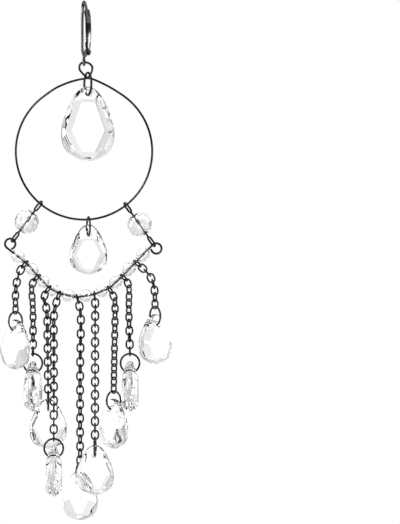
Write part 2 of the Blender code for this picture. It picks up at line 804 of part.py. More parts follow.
def axis_matrix(middle, along):
    """Place a piece that was made along X."""
    turn = X_AXIS.rotation_difference(along)
    return Matrix.Translation(middle) @ turn.to_matrix().to_4x4()


def build_swag_beads(crystal):
    """A faceted bead on each straight stretch of the swag wire."""
    for index in range(len(STATIONS) + 1):
        start, end = bead_span(index)
        name = f"swag_bead_{index + 1}"
        bore = SWAG_WIRE / 2.0 + CLEARANCE
        mesh = bead_mesh(name, (end - start).length, SWAG_BEAD_RADIUS, SWAG_BEAD_END,
                         bore / math.cos(math.pi / ROUND_SIDES), SWAG_BEAD_WAIST, crystal)
        make_object(name, mesh, crystal, axis_matrix((start + end) / 2.0, (end - start).normalized()))


def pin_ends(index):
    """Where a side pin holds the hoop's wire and the eyelet's wire."""
    top = hoop_point(PIN_TOP_ANGLES[index])
    centre = eyelet_centre(index)
    return top, centre + (top - centre).normalized() * EYELET_RADIUS


def pin_axes(index):
    """Along a pin, across its loops, and square to them. The loops are turned about the pin."""
    top, bottom = pin_ends(index)
    along = (bottom - top).normalized()
    side = Matrix.Rotation(PIN_LOOP_TURN, 3, along) @ Y_AXIS
    return along, side, along.cross(side).normalized()


def pin_line(index):
    """A pin's wire: a long loop, a straight shank and a long loop, all in one plane."""
    top, bottom = pin_ends(index)
    along, side, _ = pin_axes(index)
    reach_top = PIN_LOOP_RADIUS - (HOOP_WIRE / 2.0 + PIN_WIRE / 2.0 + CLEARANCE)
    reach_bottom = PIN_LOOP_RADIUS - (SWAG_WIRE / 2.0 + PIN_WIRE / 2.0 + CLEARANCE)
    upper = top + along * reach_top
    lower = bottom - along * reach_bottom

    def loop(centre, towards):
        stretch = towards * PIN_LOOP_STRETCH
        arc = arc_points(centre, towards, side, PIN_LOOP_RADIUS, PIN_LOOP_STEPS, PIN_LOOP_GAP, PIN_LOOP_SWEEP)
        rounds = [point + stretch if (point - centre).dot(towards) > 0.0 else point for point in arc]
        shank = [centre + stretch + (towards * row["along"] - side * row["front"]) * PIN_LOOP_RADIUS
                 for row in (PIN_BEND, PIN_NECK)]
        return rounds + shank

    return loop(upper, along) + list(reversed(loop(lower, -along)))


def build_side_pins(metal, crystal):
    """The two pins that carry the swag wire, each through one big bead."""
    for index, side in enumerate(("left", "right")):
        top, bottom = pin_ends(index)
        along, _, normal = pin_axes(index)
        name = f"side_pin_{side}"
        mesh = wire_mesh(name, pin_line(index), normal, PIN_WIRE, FINE_WIRE_SIDES, False)
        make_object(name, mesh, metal)
        bead = f"side_bead_{side}"
        bore = (PIN_WIRE / 2.0 + CLEARANCE) / math.cos(math.pi / ROUND_SIDES)
        mesh = bead_mesh(bead, SIDE_BEAD_LENGTH, SIDE_BEAD_RADIUS, SIDE_BEAD_END, bore,
                         SIDE_BEAD_WAIST, crystal)
        make_object(bead, mesh, crystal, axis_matrix((top + bottom) / 2.0, along))


# Chains

def link_rows():
    """Half a link's outline as shares of its half width and half length, side first."""
    return ((1.0, 0.0), (0.88, 0.66), (0.34, 1.0))


def link_points(centre, down, normal):
    """The ten corners of a link's wire, from its top flat round."""
    width = normal.cross(down).normalized()
    half_long = (LINK_LENGTH - LINK_WIRE) / 2.0
    half_wide = (LINK_WIDTH - LINK_WIRE) / 2.0
    side, shoulder, flat = link_rows()
    outline = ((flat[0], -flat[1]), (-flat[0], -flat[1]), (-shoulder[0], -shoulder[1]), (-side[0], 0.0),
               (-shoulder[0], shoulder[1]), (-flat[0], flat[1]), (flat[0], flat[1]),
               (shoulder[0], shoulder[1]), (side[0], 0.0), (shoulder[0], -shoulder[1]))
    return [centre + width * (across * half_wide) + down * (along * half_long) for across, along in outline]


def swag_direction(index):
    """The swag wire's direction at a station."""
    corners = swag_corners()
    return (corners[index + 2] - corners[index]).normalized()


def chain_line(chain, station):
    """The smooth route of a chain: off the wire between its beads, then down to its ring."""
    lean = math.radians(chain["lean"])
    below = station + Vector((math.sin(lean), 0.0, -math.cos(lean))) * LINK_LENGTH
    route = [hoop_centre() + Vector(point) * HOOP_RADIUS for point in chain["route"]]
    return smooth_line([station, below] + route, ROUTE_STEPS)


def point_along(line, distance):
    """The point at a distance along a line, and past its end in the last direction."""
    left = distance
    for start, end in zip(line, line[1:]):
        length = (end - start).length
        if left <= length:
            return start.lerp(end, left / length)
        left -= length
    return line[-1] + (line[-1] - line[-2]).normalized() * left


def line_length(line):
    """The length of a line of points."""
    return sum((end - start).length for start, end in zip(line, line[1:]))


def chain_plan(chain, index):
    """The contact points, directions and turns of a chain's links, spread evenly on its route."""
    station = plane_point(STATIONS[index])
    line = chain_line(chain, station)
    grip = flat_radius(LINK_WIRE, FINE_WIRE_SIDES)
    inner = LINK_LENGTH - LINK_WIRE - 2.0 * grip
    first_way = (point_along(line, LINK_LENGTH / 2.0) - station).normalized()
    square = math.sqrt(1.0 - swag_direction(index).dot(first_way) ** 2)
    above = (SWAG_WIRE / 2.0 + LINK_WIRE / 2.0 + CLEARANCE) / square
    hold = flat_radius(RING_WIRE, FINE_WIRE_SIDES) + grip + CLEARANCE
    # From the station, the first contact lies one link's inner length below its top strand
    start = (LINK_LENGTH - LINK_WIRE) / 2.0 - above + inner / 2.0
    most = inner - LINK_PLAY
    end = line_length(line) + hold - (LINK_LENGTH - LINK_WIRE) / 2.0 - inner / 2.0
    run = end - start
    fewest = max(math.ceil(run / most), 1)
    plans = []
    for count in (fewest, fewest + 1):
        pitch = run / count
        if count > fewest and pitch < LINK_LEAST_PITCH:
            continue
        wanted = 90.0 + chain["drop_turn"] - chain["top_turn"] - 90.0 * (count + 1)
        turn = (wanted + 90.0) % 180.0 - 90.0
        plans.append((abs(turn), count, pitch, turn))
    _, count, pitch, turn = min(plans)
    contacts = [point_along(line, start + pitch * number) for number in range(count + 1)]
    return {"station": station, "first_way": first_way, "above": above, "contacts": contacts,
            "turn": turn / (count + 1), "links": count + 2, "inner": inner, "hold": hold}


def chain_links(chain, plan):
    """The middle, way down and normal of each link of a chain."""
    contacts = plan["contacts"]
    links = []
    for number in range(plan["links"]):
        if number == 0:
            down = plan["first_way"]
            middle = contacts[0] - down * (plan["inner"] / 2.0)
        elif number == plan["links"] - 1:
            down = (contacts[-1] - contacts[-2]).normalized()
            middle = contacts[-1] + down * (plan["inner"] / 2.0)
        else:
            down = (contacts[number] - contacts[number - 1]).normalized()
            middle = (contacts[number] + contacts[number - 1]) / 2.0
        yaw = math.radians(chain["top_turn"] + number * (90.0 + plan["turn"]))
        first = (X_AXIS - down * X_AXIS.dot(down)).normalized()
        normal = first * math.cos(yaw) + down.cross(first) * -math.sin(yaw)
        links.append((middle, down, normal))
    return links


def chain_mesh(name, links):
    """A chain of real links, each fused to the next where their wires touch."""
    bm = bmesh.new()
    mouths = []
    for middle, down, normal in links:
        points = link_points(middle, down, normal)
        strips = sweep_wire(bm, points, normal, LINK_WIRE / 2.0, FINE_WIRE_SIDES, True)
        faces = []
        for strip, way in ((strips[0], down), (strips[5], -down)):
            faces.append(max(strip, key=lambda face: face.calc_center_median().dot(way)))
        mouths.append(faces)
    for (_, lower), (upper, _) in zip(mouths, mouths[1:]):
        first = list(lower.verts)
        second = list(upper.verts)
        weld_mouths(bm, first, second)
    for number, (upper, lower) in enumerate(mouths):
        spent = []
        if number > 0:
            spent.append(upper)
        if number < len(mouths) - 1:
            spent.append(lower)
        bmesh.ops.delete(bm, geom=spent, context="FACES_ONLY")
    return finish_mesh(name, bm, math.radians(50.0))


def weld_mouths(bm, first, second):
    """Join the rims of two facing faces with four quads, corner to nearest corner."""
    best = None
    for shift in range(4):
        for order in (1, -1):
            match = [second[(shift + order * number) % 4] for number in range(4)]
            length = sum((a.co - b.co).length for a, b in zip(first, match))
            if best is None or length < best[0]:
                best = (length, match)
    match = best[1]
    for number in range(4):
        turn = (number + 1) % 4
        bm.faces.new((first[number], first[turn], match[turn], match[number]))


def chain_bottom(links):
    """The middle of the wire at the bottom of the last link."""
    middle, down, _ = links[-1]
    return middle + down * ((LINK_LENGTH - LINK_WIRE) / 2.0)


def build_tube(name, plan, bottom, metal):
    """A plain tube on a chain's route, from under the swag wire to above its jump ring."""
    start = plan["station"] + plan["first_way"] * (SWAG_WIRE / 2.0 + TUBE_SEAT)
    end = bottom + Z_AXIS * (RING_WIRE + LINK_WIRE)
    route = [start] + plan["contacts"][1:-1] + [end]
    line = [route[0]]
    for point in route[1:-1]:
        if (point - line[-1]).length > TUBE_STEP and (end - point).length > TUBE_STEP / 2.0:
            line.append(point)
    line.append(end)
    curve = bpy.data.curves.new(name, "CURVE")
    curve.dimensions = "3D"
    curve.bevel_depth = TUBE_DIAMETER / 2.0
    curve.bevel_resolution = TUBE_ROUNDNESS
    curve.use_fill_caps = True
    spline = curve.splines.new("POLY")
    spline.points.add(len(line) - 1)
    for point, place in zip(spline.points, line):
        point.co = (*place, 1.0)
    curve.materials.append(metal)
    thing = bpy.data.objects.new(name, curve)
    bpy.context.scene.collection.objects.link(thing)
    return thing


def build_chains(metal, small_pear):
    """Nine chains on the swag wire, each with its jump ring and pear."""
    for index, chain in enumerate(CHAINS):
        name = f"chain_{index + 1}"
        plan = chain_plan(chain, index)
        links = chain_links(chain, plan)
        bottom = chain_bottom(links)
        if chain["form"] == "links":
            make_object(name, chain_mesh(name, links), metal)
        else:
            build_tube(name, plan, bottom, metal)
        top = bottom + Z_AXIS * plan["hold"]
        yaw = math.radians(chain["drop_turn"])
        hang_ring_and_pear((f"jump_ring_{index + 1}", f"pear_{index + 1}"), top, yaw, yaw,
                           (RING_RADIUS, RING_WIRE, small_shape()), small_pear, metal)


def main():
    """Build the earring."""
    clear_scene()
    metal = make_material("dark_metal", (0.045, 0.045, 0.05), 1.0, 0.25, 0.0)
    crystal = make_material("clear_crystal", (0.95, 0.96, 0.97), 0.0, 0.03, 1.0)
    small_pear = pear_mesh("small_pear", small_shape(), crystal)
    build_ear_wire(metal)
    build_lever(metal)
    build_hoop(metal)
    build_main_drop(metal, crystal)
    build_centre_drop(metal, small_pear)
    build_side_pins(metal, crystal)
    build_swag_wire(metal)
    build_swag_beads(crystal)
    build_chains(metal, small_pear)


main()
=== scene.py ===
"""Looks of the chandelier earring: fine wires, real chain links, cut stones and their finishes.

Metres, +Z up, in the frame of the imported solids. The front of the earring faces -Y.
"""

import math

import bmesh
import bpy
from mathutils import Matrix, Vector


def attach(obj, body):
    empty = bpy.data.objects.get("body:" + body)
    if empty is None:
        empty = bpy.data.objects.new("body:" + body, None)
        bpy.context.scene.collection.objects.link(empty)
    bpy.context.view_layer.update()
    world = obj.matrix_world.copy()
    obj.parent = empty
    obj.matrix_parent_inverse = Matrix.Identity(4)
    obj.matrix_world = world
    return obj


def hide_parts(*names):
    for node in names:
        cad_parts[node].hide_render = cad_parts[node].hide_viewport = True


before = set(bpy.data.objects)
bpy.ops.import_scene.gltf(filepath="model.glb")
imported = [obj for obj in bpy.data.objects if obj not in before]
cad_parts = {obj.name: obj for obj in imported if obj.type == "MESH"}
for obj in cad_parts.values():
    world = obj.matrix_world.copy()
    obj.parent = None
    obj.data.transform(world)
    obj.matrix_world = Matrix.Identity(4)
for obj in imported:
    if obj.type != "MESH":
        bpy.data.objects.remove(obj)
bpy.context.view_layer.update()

MM = 0.001

# Room between pieces that hang in each other, and the sides that round parts and fine wires have in
# the solids, which the measures below allow for
CLEARANCE = 0.12 * MM
SOLID_ROUND_SIDES = 10
SOLID_WIRE_SIDES = 5

# Leverback: the ear wire with its base, and the lever
EAR_WIRE = 0.75 * MM
LEVERBACK_HEIGHT = 12.3 * MM
LEVERBACK_DEPTH = 6.6 * MM
LEVERBACK_YAW = math.radians(10.0)
BASE_HEEL_RADIUS = 0.85 * MM
BASE_HEEL_DROP = 1.05 * MM
BASE_TONGUE_RADIUS = 0.50 * MM
TAIL_GAP = 0.17 * MM
RIVET_RADIUS = 0.30 * MM
RIVET_HEAD_RADIUS = 0.50 * MM
RIVET_HEAD = 0.20 * MM
HANGER_WIRE = 0.55 * MM
LEVER_WIDTH = 1.40 * MM
LEVER_FOOT_WIDTH = 1.10 * MM
LEVER_DEPTH = 0.95 * MM
LEVER_FOOT_DEPTH = 1.35 * MM
LEVER_SHEET = 0.20 * MM

# Hoop, bent from one wire whose ends cross into the eye
HOOP_RADIUS = 17.05 * MM
HOOP_WIRE = 0.55 * MM
HOOP_TOP_LEFT = math.radians(38.0)
HOOP_TOP_RIGHT = math.radians(33.0)
EYE_HEIGHT = 3.9 * MM
EYE_WIDTH = 3.23 * MM
EYE_OFFSET = 0.95 * MM
HOOP_PEAK = 1.30 * MM

# Main drop in the hoop
MAIN_LINK_WIRE = 0.60 * MM
MAIN_LINK_RADIUS = 2.80 * MM
MAIN_LINK_YAW = math.radians(20.0)
MAIN_LINK_ROOM = 4.0 * CLEARANCE
MAIN_PEAR_WIDTH = 13.5 * MM
MAIN_PEAR_HEIGHT = 18.3 * MM
MAIN_PEAR_THICKNESS = 5.6 * MM
MAIN_PEAR_TIP = 2.0 * MM
MAIN_PEAR_TIP_ABOVE_HOLE = 1.60 * MM
MAIN_PEAR_TABLE_TOP = 0.20
MAIN_PEAR_YAW = math.radians(8.0)

# Small pears, on the chains and below the hoop
PEAR_WIDTH = 9.5 * MM
PEAR_HEIGHT = 12.3 * MM
PEAR_THICKNESS = 4.0 * MM
PEAR_TIP = 1.7 * MM
PEAR_TIP_ABOVE_HOLE = 2.40 * MM
PEAR_TABLE_TOP = 0.31
RING_WIRE = 0.50 * MM
RING_RADIUS = 2.375 * MM
SLEW = math.radians(6.0)
CENTRE_DROP_OFFSET = 1.12 * MM
CENTRE_RING_YAW = math.radians(11.0)
CENTRE_PEAR_YAW = math.radians(5.0)

# Side pins, from the hoop to the ends of the swag wire, each through one bead
PIN_WIRE = 0.50 * MM
PIN_LOOP_RADIUS = 0.80 * MM
PIN_LOOP_STRETCH = 1.20 * MM
PIN_LOOP_TURN = math.radians(25.0)
PIN_LOOP_STEPS = 10
SIDE_BEAD_LENGTH = 5.6 * MM
SIDE_BEAD_RADIUS = 3.1 * MM
SIDE_BEAD_END = 1.3 * MM
PIN_LOOP_GAP = math.radians(38.0)
PIN_LOOP_SWEEP = math.radians(285.0)
PIN_NECK = (1.62, 0.0)
PIN_BEND = (1.22, 0.22)

# Swag wire and its beads
SWAG_WIRE = 0.50 * MM
EYELET_RADIUS = 1.30 * MM
SWAG_BEAD_RADIUS = 1.66 * MM
SWAG_BEAD_END = 0.72 * MM
BEAD_GAP = 1.36 * MM

# Chain links, and the steps of a chain's route
LINK_LENGTH = 2.73 * MM
LINK_WIDTH = 2.15 * MM
LINK_WIRE = 0.50 * MM
LINK_PLAY = 0.05 * MM
LINK_LEAST_PITCH = 1.60 * MM
ROUTE_STEPS = 24

# Places in the earring's plane: across from the hoop's middle and up from it, as shares of the
# hoop's radius
PIN_TOP_ANGLES = (math.radians(220.0), math.radians(142.0))
EYELET_PLACES = ((-1.0821, -1.3551), (1.0604, -1.4226))
STATIONS = (
    (-0.8493, -1.6355),
    (-0.6704, -1.8320),
    (-0.5120, -2.0003),
    (-0.3625, -2.0842),
    (-0.0997, -2.1399),
    (0.1525, -2.0941),
    (0.3666, -2.0091),
    (0.5630, -1.8320),
    (0.7595, -1.6267),
)

# Chains, from the swag wire down. The turns of the drop and of the first link are about the way
# down, in degrees. The lean is the way that the first link hangs, from straight down towards +X.
# The route runs on from its station through points given across, back and up from the hoop's middle
# as shares of its radius, and its last point is the top of the jump ring.
CHAINS = (
    {"drop_turn": -42.0, "top_turn": 22.0, "lean": -37.0,
     "route": ((-0.9971, -0.0821, -2.0208),
               (-0.9971, -0.1466, -2.3493))},
    {"drop_turn": 84.0, "top_turn": 24.0, "lean": -37.0,
     "route": ((-0.7478, -0.0176, -2.3258),
               (-0.7478, -0.0293, -2.9651))},
    {"drop_turn": 4.0, "top_turn": 26.0, "lean": -30.0,
     "route": ((-0.5484, 0.0587, -2.3258),
               (-0.5396, 0.0938, -2.7364),
               (-0.5337, 0.1994, -3.5223))},
    {"drop_turn": 90.0, "top_turn": 24.0, "lean": -18.0,
     "route": ((-0.4399, -0.0352, -2.4138),
               (-0.4399, -0.0528, -2.9710),
               (-0.4399, -0.1114, -4.2085))},
    {"drop_turn": -22.0, "top_turn": -8.0, "lean": 14.0,
     "route": ((-0.0469, 0.0411, -2.5018),
               (-0.0587, 0.0704, -3.2056),
               (-0.0616, 0.1408, -4.5721))},
    {"drop_turn": -3.0, "top_turn": 6.0, "lean": 5.0,
     "route": ((0.1642, -0.0411, -2.4431),
               (0.1642, -0.0645, -3.0296),
               (0.1642, -0.1349, -4.1850))},
    {"drop_turn": -46.0, "top_turn": -24.0, "lean": 30.0,
     "route": ((0.4545, 0.0528, -2.3258),
               (0.4457, 0.0645, -2.8537),
               (0.4340, 0.0762, -3.5164))},
    {"drop_turn": 88.0, "top_turn": 24.0, "lean": 36.0,
     "route": ((0.6569, -0.0176, -2.3258),
               (0.6745, -0.0352, -2.9651))},
    {"drop_turn": 34.0, "top_turn": -24.0, "lean": 49.0,
     "route": ((0.9736, -0.0117, -1.8331),
               (1.0323, -0.0293, -2.0091),
               (1.0411, -0.0469, -2.2730))},
)

# The pear's outline from the tip down: across as a share of half the width, down as a share of the
# height, and the thickness at the edge as a share of the tip's
PEAR_OUTLINE = (
    (0.17, 0.00, 1.00),
    (0.48, 0.10, 0.75),
    (0.77, 0.30, 0.60),
    (0.95, 0.49, 0.60),
    (1.00, 0.63, 0.60),
    (0.95, 0.76, 0.60),
    (0.78, 0.885, 0.75),
    (0.46, 0.96, 0.90),
    (0.14, 1.00, 1.00),
)

# The corners of the stone's table on one side, as the same shares across and down. A corner without
# a share down takes the table's own top.
TABLE_CORNERS = (
    (0.28, None),
    (0.64, 0.59),
    (0.27, 0.885),
)

# Leverback curves as shares of its depth back and of its height down, from the crown
LEVER_LINE = (
    (0.545, 0.156),
    (0.700, 0.240),
    (0.812, 0.378),
    (0.842, 0.575),
    (0.790, 0.780),
    (0.720, 0.930),
    (0.720, 1.062),
)
LEVER_FOOT_ROWS = 2
EAR_WIRE_LINE = (
    (0.385, 0.098),
    (0.240, 0.040),
    (0.120, 0.009),
    (0.000, 0.000),
    (-0.110, 0.016),
    (-0.200, 0.060),
    (-0.265, 0.135),
    (-0.300, 0.240),
    (-0.312, 0.420),
    (-0.312, 0.700),
    (-0.303, 0.900),
    (-0.255, 0.995),
    (-0.160, 1.050),
    (-0.050, 1.078),
)
PIVOT_SHARE = (0.697, 1.000)
TAIL_STEPS = 3
TAIL_SHARE = 0.35

# The eye and the drawn-up top of the hoop: across from the crossing and up from it, as shares
# of the eye's width and height, and how far the strand lies to the front (-1) or back (+1)
EYE_LINE = (
    (-2.95, -0.90, 0.0),
    (-2.45, -0.63, 0.0),
    (-1.84, -0.40, 0.0),
    (-1.24, -0.22, 0.0),
    (-0.62, -0.09, -0.3),
    (-0.04, -0.01, -1.0),
    (0.17, 0.19, -0.6),
    (0.32, 0.45, 0.0),
    (0.34, 0.71, 0.0),
    (0.17, 0.90, 0.0),
    (-0.12, 1.00, 0.0),
    (-0.47, 0.97, 0.0),
    (-0.64, 0.78, 0.0),
    (-0.63, 0.54, 0.0),
    (-0.45, 0.34, 0.2),
    (-0.23, 0.15, 0.7),
    (0.03, 0.00, 1.0),
    (0.42, -0.08, 0.5),
    (0.95, -0.27, 0.0),
    (1.49, -0.49, 0.0),
    (1.98, -0.72, 0.0),
)

X_AXIS = Vector((1.0, 0.0, 0.0))
Y_AXIS = Vector((0.0, 1.0, 0.0))
Z_AXIS = Vector((0.0, 0.0, 1.0))


# Meshes and measures that are made as in the solids' source

def finish_mesh(name, bm, smooth_angle=None):
    """Turn a bmesh into a mesh, with its faces pointing out."""
    bmesh.ops.recalc_face_normals(bm, faces=bm.faces)
    mesh = bpy.data.meshes.new(name)
    bm.to_mesh(mesh)
    bm.free()
    if smooth_angle is not None:
        mesh.shade_smooth()
        mesh.set_sharp_from_angle(angle=smooth_angle)
    return mesh


def cut_away(target, tool):
    """Cut the tool's shape out of the target with an exact Boolean, and remove the tool."""
    modifier = target.modifiers.new("difference", "BOOLEAN")
    modifier.operation = "DIFFERENCE"
    modifier.solver = "EXACT"
    modifier.object = tool
    bpy.context.view_layer.update()
    graph = bpy.context.evaluated_depsgraph_get()
    mesh = bpy.data.meshes.new_from_object(target.evaluated_get(graph))
    target.modifiers.clear()
    target.data = mesh
    bpy.data.objects.remove(tool, do_unlink=True)


def smooth_line(points, steps, closed=False):
    """Points along a Catmull-Rom curve through the given ones."""
    count = len(points)
    spans = count if closed else count - 1
    line = []
    for index in range(spans):
        before = points[(index - 1) % count] if closed or index > 0 else points[0]
        start = points[index]
        end = points[(index + 1) % count]
        after = points[(index + 2) % count] if closed or index + 2 < count else points[-1]
        for step in range(steps):
            t = step / steps
            line.append(0.5 * (2.0 * start + (end - before) * t
                               + (2.0 * before - 5.0 * start + 4.0 * end - after) * t * t
                               + (3.0 * start - before - 3.0 * end + after) * t ** 3))
    if not closed:
        line.append(points[-1].copy())
    return line


def circle_points(centre, first, second, radius, count):
    """Corners of a full turn, in the plane of two axes."""
    step = 2.0 * math.pi / count
    return [centre + (first * math.cos(step * index) + second * math.sin(step * index)) * radius
            for index in range(count)]


def arc_points(centre, first, second, radius, count, start, sweep):
    """Points on part of a circle, in the plane of two axes, both ends among them."""
    points = []
    for index in range(count):
        angle = start + sweep * index / (count - 1)
        points.append(centre + (first * math.cos(angle) + second * math.sin(angle)) * radius)
    return points


def flat_radius(diameter, sides):
    """The distance from a meshed wire's centre to the middle of its flats."""
    return diameter / 2.0 * math.cos(math.pi / sides)


def leverback_axes():
    """Back along the leverback, and across it."""
    back = Vector((math.sin(LEVERBACK_YAW), math.cos(LEVERBACK_YAW), 0.0))
    return back, back.cross(Z_AXIS)


def leverback_point(place):
    """A point of the leverback's plane, from its shares back and down."""
    back, _ = leverback_axes()
    return back * (place[0] * LEVERBACK_DEPTH) - Z_AXIS * (place[1] * LEVERBACK_HEIGHT)


def lever_line():
    """The middle of the lever's channel, from its top to its foot."""
    return [leverback_point(place) for place in LEVER_LINE]


def line_normal(line, index, across):
    """The direction square to a line at one of its points, towards the inside of the leverback."""
    before = line[max(index - 1, 0)]
    after = line[min(index + 1, len(line) - 1)]
    return across.cross(after - before).normalized()


def lever_inside(line, index):
    """Towards the lever's open side at one of the points of its line."""
    back, across = leverback_axes()
    normal = line_normal(line, index, across)
    return -normal if normal.dot(back) > 0.0 else normal


def ear_wire_line():
    """The ear wire's middle: from its tail in the lever, over the crown and down to the heel."""
    line = lever_line()
    inset = LEVER_SHEET + TAIL_GAP + EAR_WIRE / 2.0 - LEVER_DEPTH / 2.0
    tail = [line[index] + lever_inside(line, index) * inset for index in range(TAIL_STEPS)]
    tail[-1] = tail[-2].lerp(tail[-1], TAIL_SHARE)
    return list(reversed(tail)) + [leverback_point(place) for place in EAR_WIRE_LINE]


def pivot_point():
    """The middle of the rivet that the lever turns on."""
    return leverback_point(PIVOT_SHARE)


def heel_point():
    """The middle of the base's round heel, under the crown."""
    return -Z_AXIS * (LEVERBACK_HEIGHT + BASE_HEEL_DROP)


def hanger_radius():
    """The hanger's radius to the middle of its wire: it takes the hoop's wire with room."""
    return HOOP_WIRE / 2.0 + HANGER_WIRE / 2.0 + 2.0 * CLEARANCE


def hanger_centre():
    """The middle of the ring under the base, which is soldered to the heel."""
    return heel_point() - Z_AXIS * (BASE_HEEL_RADIUS + hanger_radius())


def base_half_width():
    """Half the base's thickness: it stands between the foot's side walls with room."""
    return LEVER_FOOT_WIDTH / 2.0 - LEVER_SHEET - CLEARANCE


def eye_top():
    """The height of the eye's wire where it hangs in the hanger ring."""
    hanger_bottom = hanger_centre().z - hanger_radius()
    return hanger_bottom + HANGER_WIRE / 2.0 + HOOP_WIRE / 2.0 + CLEARANCE


def crossing_point():
    """Where the hoop's wire crosses itself under the eye."""
    return Vector((EYE_OFFSET, 0.0, eye_top() - EYE_HEIGHT))


def hoop_centre():
    """The middle of the round hoop; its peak lies just above the circle's own top."""
    return Vector((0.0, 0.0, crossing_point().z - HOOP_PEAK - HOOP_RADIUS))


def hoop_point(angle):
    """A point on the round part of the hoop, by its angle from the top, towards +X."""
    return hoop_centre() + Vector((math.sin(angle), 0.0, math.cos(angle))) * HOOP_RADIUS


def hoop_line(eye_steps, hoop_steps):
    """The closed line of the hoop's wire."""
    crossing = crossing_point()
    strand = HOOP_WIRE / 2.0 + CLEARANCE / 2.0
    top = []
    for across, up, side in EYE_LINE:
        top.append(crossing + Vector((across * EYE_WIDTH, side * strand, up * EYE_HEIGHT)))
    step = (2.0 * math.pi - HOOP_TOP_LEFT - HOOP_TOP_RIGHT) / hoop_steps
    before = [hoop_point(-HOOP_TOP_LEFT - step), hoop_point(-HOOP_TOP_LEFT)]
    after = [hoop_point(HOOP_TOP_RIGHT), hoop_point(HOOP_TOP_RIGHT + step)]
    upper = smooth_line(before + top + after, eye_steps)[eye_steps:-eye_steps]
    lower = [hoop_point(HOOP_TOP_RIGHT + step * index) for index in range(1, hoop_steps)]
    return upper + lower


def wire_rise(radius, half_thickness):
    """How far a ring's wire rises from the ring's bottom to the faces of the stone on it."""
    return radius - math.sqrt(max(radius ** 2 - half_thickness ** 2, 0.0))


def pear_shape(width, height, thickness, tip, tip_above_hole, table_top, ring_radius, ring_wire):
    """The sizes of a pear-shaped stone and its hole, in one bundle."""
    share = tip_above_hole / (height * table_top)
    half = tip / 2.0 + (thickness - tip) / 2.0 * min(share, 1.0)
    rise = wire_rise(ring_radius, half)
    slew = half * math.tan(SLEW)
    bore = math.hypot(rise / 2.0, slew) + ring_wire / 2.0 + CLEARANCE
    return {"width": width, "height": height, "thickness": thickness, "tip": tip,
            "tip_above_hole": tip_above_hole, "table_top": table_top,
            "bore": bore / math.cos(math.pi / SOLID_ROUND_SIDES), "lift": rise / 2.0}


def main_shape():
    """The big pear that hangs inside the hoop."""
    return pear_shape(MAIN_PEAR_WIDTH, MAIN_PEAR_HEIGHT, MAIN_PEAR_THICKNESS, MAIN_PEAR_TIP,
                      MAIN_PEAR_TIP_ABOVE_HOLE, MAIN_PEAR_TABLE_TOP, MAIN_LINK_RADIUS, MAIN_LINK_WIRE)


def small_shape():
    """The small pears of the chains and below the hoop."""
    return pear_shape(PEAR_WIDTH, PEAR_HEIGHT, PEAR_THICKNESS, PEAR_TIP,
                      PEAR_TIP_ABOVE_HOLE, PEAR_TABLE_TOP, RING_RADIUS, RING_WIRE)


def turned(yaw):
    """A turn about the vertical."""
    return Matrix.Rotation(yaw, 4, "Z")


def plane_point(place):
    """A point of the earring's plane from its place in shares of the hoop's radius."""
    return hoop_centre() + Vector((place[0], 0.0, place[1])) * HOOP_RADIUS


def eyelet_centre(index):
    """The middle of one of the swag wire's end eyelets."""
    return plane_point(EYELET_PLACES[index])


def eyelet_tangent(index):
    """Where the swag wire leaves an eyelet: a straight line that touches its circle."""
    station = plane_point(STATIONS[0] if index == 0 else STATIONS[-1])
    centre = eyelet_centre(index)
    away = station - centre
    distance = away.length
    heading = math.atan2(away.z, away.x)
    opening = math.acos(EYELET_RADIUS / distance)
    turn = heading - opening
    return centre + Vector((math.cos(turn), 0.0, math.sin(turn))) * EYELET_RADIUS, turn


def eyelet_line(index, count):
    """The round of an eyelet, from its free end to where the straight wire leaves it."""
    _, turn = eyelet_tangent(index)
    gap = 2.0 * math.asin(math.sqrt((SWAG_WIRE + CLEARANCE) / (2.0 * EYELET_RADIUS)))
    return arc_points(eyelet_centre(index), X_AXIS, Z_AXIS, EYELET_RADIUS, count,
                      turn + gap - 2.0 * math.pi, 2.0 * math.pi - gap)


def swag_corners():
    """The points that the swag wire runs through between its eyelets."""
    return [eyelet_tangent(0)[0]] + [plane_point(place) for place in STATIONS] + [eyelet_tangent(1)[0]]


def bead_span(index):
    """The two ends of a swag bead, on the straight stretch between two stations."""
    corners = swag_corners()
    start, end = corners[index], corners[index + 1]
    along = (end - start).normalized()
    by_eyelet = EYELET_RADIUS + SWAG_WIRE / 2.0 + CLEARANCE
    first = by_eyelet if index == 0 else BEAD_GAP / 2.0
    last = by_eyelet if index == len(corners) - 2 else BEAD_GAP / 2.0
    return start + along * first, end - along * last


def axis_matrix(middle, along):
    """Place a piece that was made along X."""
    turn = X_AXIS.rotation_difference(along)
    return Matrix.Translation(middle) @ turn.to_matrix().to_4x4()


def pin_ends(index):
    """Where a side pin holds the hoop's wire and the eyelet's wire."""
    top = hoop_point(PIN_TOP_ANGLES[index])
    centre = eyelet_centre(index)
    return top, centre + (top - centre).normalized() * EYELET_RADIUS


def pin_axes(index):
    """Along a pin, across its loops, and square to them. The loops are turned about the pin."""
    top, bottom = pin_ends(index)
    along = (bottom - top).normalized()
    side = Matrix.Rotation(PIN_LOOP_TURN, 3, along) @ Y_AXIS
    return along, side, along.cross(side).normalized()


